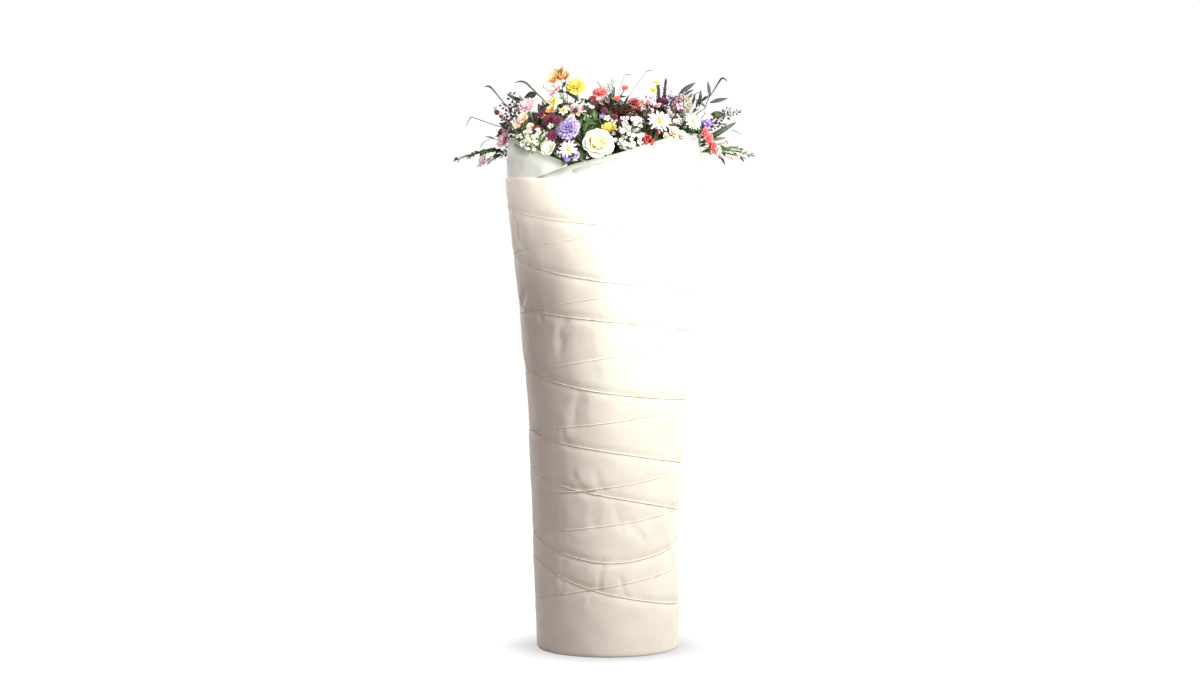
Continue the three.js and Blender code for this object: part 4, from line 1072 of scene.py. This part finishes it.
GREENS = (("oval_leaf", "waxy_green_leaf", 0.036), ("oval_leaf", "dark_olive_leaf", 0.032),
          ("willow_leaf", "waxy_green_leaf", 0.044))
REDS = (("oval_leaf", "red_brown_leaf", 0.03), ("willow_leaf", "red_brown_leaf", 0.04))

# ---------------------------------------------------------------- the plants
# at: where the stem ends. rise: what it passes before. face: the way it ends, or else
# outwards. bloom: pattern, size and skins of a single head, which may look another way. disc:
# the skin of its middle. kind, skins: what the florets are. tips: florets on twigs (x, y, z,
# size), which may arch. spikes: shoots with florets (x, y, z, size, how many), which may stand
# off. sprigs: shoots with leaves of the kind leaf (x, y, z, how many). fan: long blades.
# rosette: count, length, pattern, skin and spread. ball: radius, count, pattern and skin.
# cloud: centre, radii, count and sizes. more: other florets (pattern, x, y, z, size, skins).
# leaves: (pattern, skin, from, to, width). shoots: bare stems through (x, y, z, radius).

PLANTS = {
    "rose_cream": dict(at=(-18, -152, 1016), face=(0.05, -0.85, 0.5),
        bloom=("rose", 32, "cream_rose_petal", "cream_heart_petal")),
    "aster_front": dict(at=(-76, -187, 1012), face=(-0.3, -0.85, 0.4),
        bloom=("aster", 20, "lilac_ray_petal"), disc="golden_pollen",
        more=[("double", -62, -186, 1000, 9, "lilac_frilled_petal"),
        ("double", -78, -190, 994, 7, "violet_papery_petal")]),
    "daisy_large": dict(at=(102, -122, 1062), face=(0.25, -0.75, 0.6),
        bloom=("daisy", 25, "white_ray_petal"), disc="golden_pollen"),
    "daisy_right": dict(at=(168, -82, 1060), face=(0.55, -0.6, 0.58),
        bloom=("daisy", 20, "white_ray_petal"), disc="golden_pollen"),
    "scabiosa_lilac": dict(at=(-75, -150, 1047), face=(-0.3, -0.75, 0.6),
        bloom=("frilled", 25, "lilac_frilled_petal", "violet_papery_petal")),
    "carnation_pink": dict(at=(-156, -60, 1086), face=(-0.3, -0.6, 0.7),
        bloom=("carnation", 19, "pink_frilled_petal")),
    "chrysanthemum_yellow": dict(at=(-62, 10, 1122), face=(-0.2, -0.35, 0.92),
        look=(0.0, -0.75, 0.65), bloom=("chrysanthemum", 21, "yellow_petal")),
    "peach_rose_left": dict(at=(-158, -92, 1040), kind="spray_rose", skins=["peach_petal"],
        tips=[(-164, -98, 1066, 13), (-176, -84, 1052, 10), (-150, -104, 1050, 9)]),
    "dianthus_plum": dict(at=(-122, -108, 1020), kind="double", skins=["plum_velvet_petal"],
        tips=[(-112, -108, 1062, 14), (-106, -148, 1036, 11), (-138, -124, 1044, 11),
        (-98, -126, 1064, 10), (-130, -100, 1074, 8)]),
    "alstroemeria_orange": dict(at=(-88, 22, 1104), kind="lily", skins=["orange_petal"],
        tips=[(-92, 20, 1138, 25), (-106, 4, 1132, 16), (-82, 12, 1138, 18)],
        more=[("floret", -98, 2, 1118, 15, "pale_pink_petal"),
        ("floret", -108, 0, 1108, 12, "pale_pink_petal"),
        ("bud", -122, 2, 1122, 4, "pale_pink_petal")]),
    "narcissus_yellow": dict(at=(-80, -44, 1050), kind="narcissus", skins=["pale_yellow_petal",
        "yellow_petal"], tips=[(-60, -62, 1080, 21), (-104, -32, 1094, 17), (-86, -70, 1080, 12)],
        more=[("floret", -110, -40, 1078, 12, "orange_petal")]),
    "coral_spray": dict(at=(5, -4, 1072), kind="double", skins=["coral_petal"], greens=REDS,
        tips=[(-14, -2, 1110, 15), (36, 14, 1121, 7), (53, -30, 1092, 13), (20, 6, 1100, 8),
        (-28, 10, 1100, 8)]),
    "red_foliage": dict(at=(14, -42, 1058), rosette=(38, 38, "oval_leaf", "red_brown_leaf", 88),
        shoots=[[(12, -40, 1050, 0.6), (8, -34, 1088, 0.6), (-2, -30, 1110, 0.5),
        (4, -28, 1128, 0.4)], [(0, -30, 1108, 0.4), (-8, -26, 1122, 0.4), (-10, -24, 1134, 0.3)],
        [(20, -42, 1056, 0.7), (40, -40, 1086, 0.7), (52, -36, 1100, 0.6), (62, -32, 1106, 0.4)]],
        leaves=[("willow_leaf", "dark_olive_leaf", (20, -44, 1084), (46, -52, 1096), 0.9),
        ("willow_leaf", "red_brown_leaf", (30, -50, 1078), (58, -64, 1084), 1.1),
        ("willow_leaf", "dark_olive_leaf", (30, -36, 1080), (62, -36, 1102), 0.8),
        ("oval_leaf", "dark_olive_leaf", (12, -62, 1070), (2, -84, 1080), 1.0),
        ("oval_leaf", "red_brown_leaf", (24, -66, 1066), (34, -92, 1074), 1.0)]),
    "sweet_pea_mauve": dict(at=(80, -56, 1050), kind="sweet_pea", skins=["pink_frilled_petal"],
        tips=[(76, -66, 1092, 21), (94, -52, 1086, 18), (64, -46, 1078, 15), (86, -74, 1076, 14)],
        more=[("floret", 84, -58, 1104, 13, "pale_pink_petal")]),
    "veronica_magenta": dict(at=(112, -18, 1066), kind="bud", skins=["dark_bud_skin"],
        spikes=[(117, -12, 1140, 2.3, 60), (101, -8, 1134, 2.6, 56)],
        more=[("double", 126, -30, 1104, 8, "lilac_frilled_petal"),
        ("double", 112, -36, 1096, 10, "plum_velvet_petal"),
        ("double", 98, -14, 1132, 6, "yellow_petal"), ("double", 92, -16, 1118, 7, "yellow_petal"),
        ("double", 130, -12, 1122, 6, "pale_yellow_petal")]),
    "hydrangea_mauve": dict(at=(137, -42, 1074), ball=(21, 62, "four", "mauve_green_petal")),
    "waxflower_right": dict(at=(50, -122, 996), kind="star", skins=["blush_waxy_petal",
        "fresh_green_leaf"], cloud=((44, -156, 1038), (38, 18, 36), 78, (3.4, 6.2))),
    "gypsophila_left": dict(at=(-134, -112, 990), kind="star", skins=["green_white_petal",
        "fresh_green_leaf"], cloud=((-142, -132, 1026), (40, 22, 22), 92, (2.8, 4.5))),
    "lisianthus_green": dict(at=(-112, -140, 1008), face=(-0.5, -0.75, 0.45),
        bloom=("spray_rose", 18, "green_white_petal")),
    "berries_red": dict(at=(80, -128, 1002), kind="berry", skins=["berry_skin"],
        cloud=((74, -158, 1022), (16, 10, 15), 16, (3.4, 4.8))),
    "peach_rose_right": dict(at=(124, -100, 1016), kind="spray_rose", skins=["peach_petal"],
        tips=[(130, -122, 1040, 13), (146, -108, 1034, 10), (116, -128, 1032, 9)]),
    "gladiolus_coral": dict(at=(180, -38, 1050), kind="floret", skins=["coral_petal"], arch=0.35,
        tips=[(188, -44, 1036, 14), (196, -48, 1022, 16), (205, -48, 1008, 14),
        (194, -40, 1029, 11)], more=[("floret", 215, -46, 1001, 12, "pink_frilled_petal"),
        ("bud", 221, -44, 992, 4, "pink_frilled_petal")]),
    "statice_violet": dict(at=(170, -14, 1030), kind="star", skins=["violet_papery_petal",
        "white_ray_petal"], cloud=((193, -16, 1051), (12, 11, 11), 22, (4.5, 6.5)),
        more=[("spray_rose", 194, -14, 1072, 8, "peach_petal")]),
    "plum_spray_right": dict(at=(184, 8, 1034), kind="bud", skins=["dark_bud_skin"], stand=1.6,
        spikes=[(264, 6, 1076, 3.0, 24), (236, 14, 1050, 3.0, 16), (244, -6, 1082, 2.9, 18)],
        leaves=[("oval_leaf", "waxy_green_leaf", (206, 6, 1070), (238, 4, 1068), 0.8)]),
    "plum_spray_left": dict(at=(-178, -34, 1036), kind="bud", skins=["dark_bud_skin"], stand=1.8,
        spikes=[(-190, -28, 1113, 3.6, 20), (-206, -40, 1092, 3.4, 18), (-206, -48, 1064, 3.2, 14),
        (-172, -40, 1106, 3.4, 18), (-182, -52, 1092, 3.4, 16), (-164, -50, 1092, 3.2, 14)],
        leaves=[("willow_leaf", "dark_olive_leaf", (-160, -30, 1090), (-198, -28, 1112), 0.9)]),
    "eucalyptus_right": dict(at=(156, 26, 1050), leaf=("willow_leaf", "grey_bloomed_leaf", 27),
        sprigs=[(190, 4, 1096, 6), (150, 44, 1100, 6)], shoots=[[(168, 22, 1058, 1.0),
        (182, 20, 1072, 1.0), (194, 20, 1080, 1.0), (201, 20, 1098, 1.0), (213, 20, 1117, 1.2),
        (227, 19, 1139, 2.3), (233, 18, 1140, 1.7), (240, 18, 1134, 0.5)], [(156, 26, 1060, 0.9),
        (158, 24, 1090, 0.8), (170, 22, 1106, 0.7), (186, 20, 1114, 0.6)], [(156, 26, 1070, 0.9),
        (148, 22, 1100, 0.8), (152, 20, 1112, 0.5)]],
        leaves=[("willow_leaf", "grey_bloomed_leaf", (144, 20, 1110), (176, 20, 1133), 1.1),
        ("willow_leaf", "grey_bloomed_leaf", (150, 20, 1106), (173, 18, 1119), 0.9),
        ("willow_leaf", "grey_bloomed_leaf", (157, 22, 1096), (171, 22, 1112), 0.9),
        ("willow_leaf", "dark_olive_leaf", (187, 20, 1116), (184, 20, 1083), 0.9),
        ("willow_leaf", "dark_olive_leaf", (176, 22, 1110), (168, 24, 1082), 0.8),
        ("willow_leaf", "grey_bloomed_leaf", (205, 20, 1104), (201, 18, 1135), 1.0),
        ("willow_leaf", "grey_bloomed_leaf", (205, 20, 1092), (241, 18, 1102), 1.0),
        ("willow_leaf", "dark_olive_leaf", (196, 20, 1084), (176, 14, 1100), 0.9)]),
    "long_leaves_right": dict(at=(176, -6, 1036), blade="waxy_green_leaf",
        fan=[(226, -22, 1036, 1.2)],
        leaves=[("strap_leaf", "dark_olive_leaf", (190, -10, 1014), (255, -10, 1056), 1.7),
        ("strap_leaf", "waxy_green_leaf", (192, -12, 1016), (236, -18, 1026), 1.7),
        ("willow_leaf", "fresh_green_leaf", (246, -10, 1040), (270, -8, 1030), 0.5)]),
    "trailing_right": dict(at=(192, 74, 992), rise=(166, 64, 984), face=(0.9, 0.3, 0.25),
        kind="double", skins=["peach_petal"], leaf=("round_leaf", "fresh_green_leaf", 12.5),
        sprigs=[(288, 70, 984, 28), (266, 74, 997, 20), (270, 80, 979, 16)],
        tips=[(240, 66, 1010, 9), (262, 62, 984, 6), (250, 62, 978, 6)],
        leaves=[("round_leaf", "dark_olive_leaf", (262, 70, 982), (276, 68, 972), 0.9),
        ("round_leaf", "dark_olive_leaf", (226, 70, 980), (238, 66, 966), 0.9)]),
    "trailing_left": dict(at=(-194, 72, 992), rise=(-168, 62, 984), face=(-0.9, 0.3, 0.25),
        kind="double", skins=["pale_pink_petal"], leaf=("round_leaf", "waxy_green_leaf", 12.5),
        sprigs=[(-300, 72, 975, 28), (-272, 80, 985, 20), (-252, 62, 966, 16)],
        tips=[(-246, 54, 974, 13), (-234, 60, 972, 7)], shoots=[[(-196, 70, 996, 0.8),
        (-212, 66, 1010, 0.7), (-230, 62, 1018, 0.6), (-246, 60, 1012, 0.5)]],
        leaves=[("willow_leaf", "dark_olive_leaf", (-244, 60, 1014), (-256, 58, 1000), 1.0),
        ("willow_leaf", "grey_bloomed_leaf", (-226, 62, 1018), (-244, 60, 1024), 0.9)]),
    "dark_blades_left": dict(at=(-166, 14, 1052), blade="dark_olive_leaf",
        fan=[(-146, 30, 1104, 1.0)], shoots=[[(-166, 14, 1050, 1.1), (-190, 10, 1076, 1.1),
        (-210, 6, 1098, 1.2), (-226, 2, 1118, 1.7), (-232, 0, 1124, 2.5), (-238, -1, 1126, 1.6),
        (-243, -2, 1124, 0.5)], [(-112, 26, 1070, 1.0), (-122, 28, 1092, 1.1),
        (-138, 30, 1108, 1.3), (-152, 32, 1122, 1.7), (-162, 33, 1131, 2.1), (-173, 34, 1134, 1.8),
        (-184, 34, 1131, 0.5)], [(-170, 14, 1030, 0.9), (-196, 16, 1040, 0.8),
        (-222, 18, 1047, 0.8), (-266, 20, 1062, 0.8), (-272, 21, 1062, 0.9), (-276, 21, 1056, 0.7),
        (-281, 22, 1046, 0.4)]],
        leaves=[("oval_leaf", "dark_olive_leaf", (-140, 28, 1110), (-166, 28, 1102), 1.0),
        ("oval_leaf", "dark_olive_leaf", (-126, 12, 1066), (-136, 2, 1090), 1.1),
        ("oval_leaf", "dark_olive_leaf", (-124, 12, 1066), (-116, 0, 1094), 1.0),
        ("willow_leaf", "red_brown_leaf", (-122, 8, 1064), (-128, 2, 1098), 1.2),
        ("willow_leaf", "dark_olive_leaf", (-104, 10, 1092), (-62, -4, 1088), 0.7)]),
    "pink_bud_left": dict(at=(-186, 4, 1040), kind="bud", skins=["crimson_petal"],
        tips=[(-216, 6, 1070, 5), (-208, 16, 1062, 4)],
        more=[("bud", -220, 4, 1080, 3.2, "pale_pink_petal")]),
    "crimson_rim": dict(at=(-190, 30, 1010), kind="double", skins=["pink_frilled_petal"],
        tips=[(-204, 16, 1016, 17), (-200, 22, 1036, 11)],
        more=[("double", -208, 34, 1030, 12, "crimson_petal"),
        ("double", -210, 30, 1010, 9, "crimson_petal")],
        leaves=[("oval_leaf", "waxy_green_leaf", (-190, 20, 1040), (-214, 12, 1052), 1.0),
        ("oval_leaf", "dark_olive_leaf", (-196, 26, 1030), (-222, 20, 1026), 0.8)]),
    "limonium_top": dict(at=(14, 52, 1078), kind="bud", skins=["mauve_green_petal"], stand=1.4,
        spikes=[(2, 42, 1128, 1.8, 12), (10, 62, 1136, 1.8, 12), (-18, 56, 1132, 1.8, 10)],
        shoots=[[(14, 44, 1050, 1.2), (13, 42, 1080, 1.6), (14, 40, 1112, 1.8),
        (14, 40, 1122, 1.8)], [(14, 50, 1060, 0.4), (24, 64, 1110, 0.35), (36, 78, 1146, 0.3)],
        [(14, 50, 1060, 0.4), (50, 66, 1112, 0.35), (80, 80, 1153, 0.3)]],
        leaves=[("willow_leaf", "grey_bloomed_leaf", (36, 78, 1146), (50, 76, 1145), 1.1),
        ("willow_leaf", "grey_bloomed_leaf", (78, 80, 1151), (92, 80, 1156), 1.0)],
        more=[("double", 36, 16, 1118, 7, "pink_frilled_petal"),
        ("star", -6, 40, 1126, 6, "blush_waxy_petal")]),
    "rose_small_yellow": dict(at=(4, -117, 1044), face=(0, -0.6, 0.8),
        bloom=("spray_rose", 17, "yellow_petal"),
        more=[("star", 0, -96, 1066, 8, "white_ray_petal"),
        ("star", 14, -100, 1062, 8, "white_ray_petal"),
        ("star", -10, -92, 1070, 7, "violet_papery_petal")]),
    "back_rose_peach": dict(at=(30, 152, 1018), bloom=("rose", 32, "peach_petal")),
    "back_daisy": dict(at=(-88, 140, 1046), bloom=("daisy", 24, "white_ray_petal"),
        disc="golden_pollen"),
    "back_carnation": dict(at=(112, 118, 1060), bloom=("carnation", 21, "pink_frilled_petal")),
    "back_scabiosa": dict(at=(-152, 86, 1050),
        bloom=("frilled", 24, "lilac_frilled_petal", "violet_papery_petal")),
    "back_chrysanthemum": dict(at=(62, 96, 1080), bloom=("chrysanthemum", 21, "yellow_petal")),
    "back_gypsophila": dict(at=(-26, 150, 990), kind="star", skins=["green_white_petal",
        "fresh_green_leaf"], cloud=((-30, 168, 1016), (40, 16, 20), 70, (3.6, 5.6))),
    "back_plum_spray": dict(at=(152, 84, 1004), kind="bud", skins=["dark_bud_skin"], stand=1.6,
        spikes=[(174, 102, 1046, 3.4, 18), (192, 86, 1030, 3.4, 16), (150, 122, 1030, 3.4, 16)]),
    "back_eucalyptus": dict(at=(-118, 142, 1000), leaf=("willow_leaf", "grey_bloomed_leaf", 32),
        sprigs=[(-134, 178, 1044, 8), (-166, 152, 1036, 8), (-94, 186, 1028, 7)]),
    "back_waxflower": dict(at=(-4, 96, 1050), kind="star", skins=["blush_waxy_petal",
        "fresh_green_leaf"], cloud=((-8, 112, 1082), (38, 24, 15), 40, (5, 8))),
}


def turned_to(tip):
    """The way a floret looks: outwards, and at the front also to the front."""
    return (outward(tip) + Vector((0, -0.75 if tip.y < 0.09 else 0.0, 0))).normalized()


def single_leaf(pattern, skin, start, end, width):
    """One leaf from where it joins its shoot to its tip."""
    start, end = mm(*start), mm(*end)
    way = end - start
    up = Vector((0.1, -1, 0.35)) if start.y < 0.05 else outward(start)
    return patch(pattern, laid(start, way, up, way.length, width), skin)


def bare_shoot(keys):
    """A stem through the given places, each with its own radius."""
    route = smooth_route([key[:3] for key in keys], 6)
    radii = np.interp(np.arange(len(route)) / 6, range(len(keys)), [key[3] for key in keys])
    return [(mm(*point), radius * MM) for point, radius in zip(route, radii)]


def facing_of(plan):
    at = mm(*plan["at"])
    return Vector(plan["face"]).normalized() if "face" in plan else outward(at)


def fork(main, k):
    """Where the twig of that number leaves its stem."""
    return on_route(main, 0.98 - 0.07 * k)[0]


def leaning(facing, lean, i):
    """A direction that leans off the facing, the next one round in a spiral."""
    return facing * math.cos(lean) + square_to(facing, i * NEXT_TURN) * math.sin(lean)


def rosette(main, facing, draw, count, length, pattern, skin, spread):
    """Leaves close together round the end of a stem."""
    out = []
    for i in range(count):
        way = leaning(facing, math.radians(spread) * math.sqrt((i + 0.5) / count), i)
        size = length * draw.uniform(0.75, 1.1) * MM
        at = on_route(main, 1 - 0.4 * i / count)[0]
        out.append(patch(pattern, laid(at, way, facing, size), skin))
    return out


def ball(at, facing, draw, radius, count, pattern, skin):
    """Florets on threads all round a ball, some in other colours."""
    out, threads = [], []
    middle = at + facing * radius * 0.85 * MM
    for i in range(count):
        way = leaning(facing, math.acos(1 - 1.75 * (i + 0.5) / count), i)
        spot = middle + way * radius * draw.uniform(0.86, 1.02) * MM
        place = spun(spot, way, draw.uniform(0.005, 0.0078), draw.uniform(0, SPIN))
        own = draw.choice((skin,) * 5 + ("magenta_petal", "pale_pink_petal"))
        out.append(patch(pattern, place, own))
        threads.append([(middle + way * 0.004, THREAD_RADIUS), (spot, THREAD_RADIUS)])
    return out, threads


def cloud(main, draw, before, pattern, skins, centre, radii, count, sizes):
    """Florets on threads in a cloud of three radii, after those that the stem has before."""
    out, threads = [], []
    while len(out) < count:
        spot = Vector([draw.uniform(-1, 1) for _ in range(3)])
        if spot.length > 1:
            continue
        tip = mm(*(c + r * s for c, r, s in zip(centre, radii, spot)))
        share = 0.98 - 0.5 * (before + len(out)) / (before + count)
        threads.append(twig(on_route(main, share)[0], tip, THREAD_RADIUS))
        way = turned_to(tip) + Vector([draw.uniform(-0.4, 0.4) for _ in range(3)])
        out.append(patch(pattern, spun(tip, way.normalized(), draw.uniform(*sizes) * MM,
                                       draw.uniform(0, SPIN)), *skins))
    return out, threads


grown = []  # the bent parts of all stems, for the small filling to grow from


def grow_plant(name, plan):
    """The blooms, and the stem with its twigs and leaves, of one plant."""
    draw = random.Random(name)
    at, facing = mm(*plan["at"]), facing_of(plan)
    parts = [n for n in frame["nodes"] if n.startswith(name + "_")] or [name]
    rise = mm(*plan["rise"]) if "rise" in plan else None
    main = stem_route(name + "_stem" if name + "_stem" in parts else name, at, facing, rise)
    grown.extend(p for p, _ in main[STRAIGHT + 1:])
    leaves = leafy(main, draw, plan.get("greens", GREENS), 4 if rise else 7,
                   0.66 if rise else 0.93)
    routes, blooms = [main], []
    skins = plan.get("skins", [])
    if "bloom" in plan:
        pattern, size, *skins = plan["bloom"]
        look = Vector(plan["look"]).normalized() if "look" in plan else facing
        blooms.append(patch(pattern, spun(at, look, size * MM, draw.uniform(0, SPIN)), *skins))
        leaves.append(patch("star", spun(at - facing * 0.1 * size * MM, facing,
                                         size * 0.5 * MM), "fresh_green_leaf"))
    florets = [(plan.get("kind"), x, y, z, size, *skins)
               for x, y, z, size in plan.get("tips", [])] + plan.get("more", [])
    for k, (pattern, x, y, z, size, *own) in enumerate(florets):
        tip = mm(x, y, z)
        way = turned_to(tip)
        if "arch" in plan:
            way = (way + Vector((0.7, -0.3, -0.5))).normalized()
        routes.append(twig(fork(main, k), tip, TWIG_RADIUS, plan.get("arch", 0.12)))
        blooms.append(patch(pattern, spun(tip, way, size * MM, draw.uniform(0, SPIN)), *own))
        green = draw.choice(("waxy_green_leaf", "dark_olive_leaf"))
        leaves += leaves_on(routes[-1], "oval_leaf", green, 0.016, 2, draw, 0.1, 0.65)
    for k, (x, y, z, size, count) in enumerate(plan.get("spikes", [])):
        routes.append(twig(fork(main, k), mm(x, y, z), TWIG_RADIUS))
        blooms += spike_on(routes[-1], plan["kind"], skins, size * MM, count, draw,
                           plan.get("stand", 0.0))
    for k, (x, y, z, count) in enumerate(plan.get("sprigs", [])):
        pattern, skin, length = plan["leaf"]
        routes.append(twig(fork(main, k), mm(x, y, z), TWIG_RADIUS))
        leaves += leaves_on(routes[-1], pattern, skin, length * MM, count, draw)
    for k, (x, y, z, width) in enumerate(plan.get("fan", [])):
        way = mm(x, y, z) - fork(main, k)
        leaves.append(patch("strap_leaf", laid(fork(main, k), way, UP, way.length, width),
                            plan["blade"]))
    leaves += [single_leaf(*leaf) for leaf in plan.get("leaves", [])]
    if "shoots" in plan:
        leaves.append(tubes("bent_shoots", [bare_shoot(keys) for keys in plan["shoots"]],
                            "dark_stem_skin"))
    if "rosette" in plan:
        blooms += rosette(main, facing, draw, *plan["rosette"])
    more, threads = [], []
    if "ball" in plan:
        more, threads = ball(at, facing, draw, *plan["ball"])
    elif "cloud" in plan:
        more, threads = cloud(main, draw, len(blooms), plan["kind"], skins, *plan["cloud"])
    blooms += more
    routes += threads
    stems = tubes(name + "_shoots", routes, "green_stem_skin")
    petals = [p for p in parts if p.endswith(("petals", "rays"))]
    hand_over(joined(name + "_green", [stems, *leaves]), record_slot("waxy_green_leaf"),
              *[p for p in parts if p not in (*petals, name + "_disc")])
    if blooms:
        hand_over(joined(name + "_blooms", blooms),
                  record_slot(skins[0] if skins else "red_brown_leaf"),
                  *[p for p in parts if p in petals or p == name])
    if "disc" in plan:
        size = plan["bloom"][1] * MM
        place = spun(at + facing * 0.07 * size, facing, size)
        hand_over(joined(name + "_heart", [patch("daisy_heart", place, plan["disc"])]),
                  "petal_yellow", name + "_disc")


# ---------------------------------------------------------------- small filling

FILL_LEAFY, FILL_BLOOMS = 150, 190
# Pattern, skins, least and greatest size, and share of the small filling flowers.
FILL_KINDS = [
    ("star", ("blush_waxy_petal", "fresh_green_leaf"), 5, 8, 5),
    ("puff", ("green_white_petal",), 3, 5, 6),
    ("star", ("white_ray_petal", "golden_pollen"), 5, 8, 4),
    ("double", ("pink_frilled_petal",), 6, 9, 3),
    ("bud", ("plum_velvet_petal",), 2.5, 4, 3),
    ("star", ("violet_papery_petal", "white_ray_petal"), 5, 7, 2),
    ("double", ("yellow_petal",), 5, 8, 2),
    ("bud", ("coral_petal",), 3, 4.5, 2),
    ("double", ("plum_velvet_petal",), 5, 7.5, 2)]
FILL_GREENS = [
    ("oval_leaf", "waxy_green_leaf", 0.026), ("oval_leaf", "dark_olive_leaf", 0.026),
    ("oval_leaf", "dark_olive_leaf", 0.022), ("willow_leaf", "dark_olive_leaf", 0.034),
    ("willow_leaf", "waxy_green_leaf", 0.03), ("round_leaf", "fresh_green_leaf", 0.014),
    ("oval_leaf", "red_brown_leaf", 0.024)]
# Round this place the foliage is mostly red brown, with no small flowers.
RED_PATCH, RED_REACH = Vector((0.026, -0.05)), 0.056
CROWN_RADIUS, CROWN_SHIFT = 178, -5  # as far out as the filling grows, and its middle in x


def dome(x, y):
    """The height of the crown of flowers over a place, in millimetres."""
    return 1092 - 0.0017 * (x * x + y * y)


def free_spot(draw, blooms, lift):
    """A place on the crown that is clear of the large blooms and of the tissue."""
    while True:
        x, y = draw.uniform(-185, 185), draw.uniform(-185, 185)
        if math.hypot(x - CROWN_SHIFT, y) > CROWN_RADIUS:
            continue
        spot = mm(x, y, dome(x, y) + draw.uniform(-26, lift))
        if all((spot - centre).length > radius for centre, radius in blooms):
            return spot


def large_blooms():
    """Centre and reach of each single head, which the filling keeps clear of."""
    sizes = [(plan, plan["bloom"][1] * MM) for plan in PLANTS.values() if "bloom" in plan]
    return [(mm(*plan["at"]) + facing_of(plan) * size * 0.7, size * 1.15)
            for plan, size in sizes]


def shoot_to(tip, radius, drop):
    """A shoot from the nearest stem that runs well below the tip."""
    stems = [p for p in grown if p.z < tip.z - drop]
    return twig(min(stems, key=lambda p: (p - tip).length), tip, radius, 0.05)


def fill_between():
    """Leafy shoots and small flowers between the rest, from inside the crown."""
    draw = random.Random(77)
    blooms = large_blooms()
    shoots, leaves, flowers = [], [], []
    for _ in range(FILL_LEAFY):
        tip = free_spot(draw, blooms, 6)
        shoots.append(shoot_to(tip, TWIG_RADIUS, draw.uniform(0.03, 0.07)))
        pattern, skin, length = draw.choice(FILL_GREENS)
        if (tip.xy - RED_PATCH).length < RED_REACH:
            skin = draw.choice(("red_brown_leaf", "red_brown_leaf", "dark_olive_leaf"))
        leaves += leaves_on(shoots[-1], pattern, skin, length, 7, draw, LEAVES_FROM)
    shares = [kind[4] for kind in FILL_KINDS]
    for _ in range(FILL_BLOOMS):
        tip = free_spot(draw, blooms, 14)
        if (tip.xy - RED_PATCH).length < RED_REACH:
            continue
        shoots.append(shoot_to(tip, THREAD_RADIUS, draw.uniform(0.03, 0.06)))
        pattern, skins, small, large, _ = draw.choices(FILL_KINDS, shares)[0]
        flowers.append(patch(pattern, spun(tip, turned_to(tip), draw.uniform(small, large) * MM,
                                           draw.uniform(0, SPIN)), *skins))
    hand_over(tubes("filling_shoots", shoots, "dark_stem_skin"), "stem")
    hand_over(joined("filling_leaves", leaves), record_slot("waxy_green_leaf"))
    hand_over(joined("filling_flowers", flowers), record_slot("blush_waxy_petal"))


# ---------------------------------------------------------------- making it all

light_the_studio()
set_up_camera()
mix_finishes()
all_the_folds = all_folds()
make_wrapping_paper(all_the_folds)
make_tissue(all_the_folds)
make_twine(all_the_folds)
make_raffia_tie()
make_patterns()
for plant, plan in PLANTS.items():
    grow_plant(plant, plan)
fill_between()
for pattern in patterns.values():
    bpy.data.objects.remove(pattern)
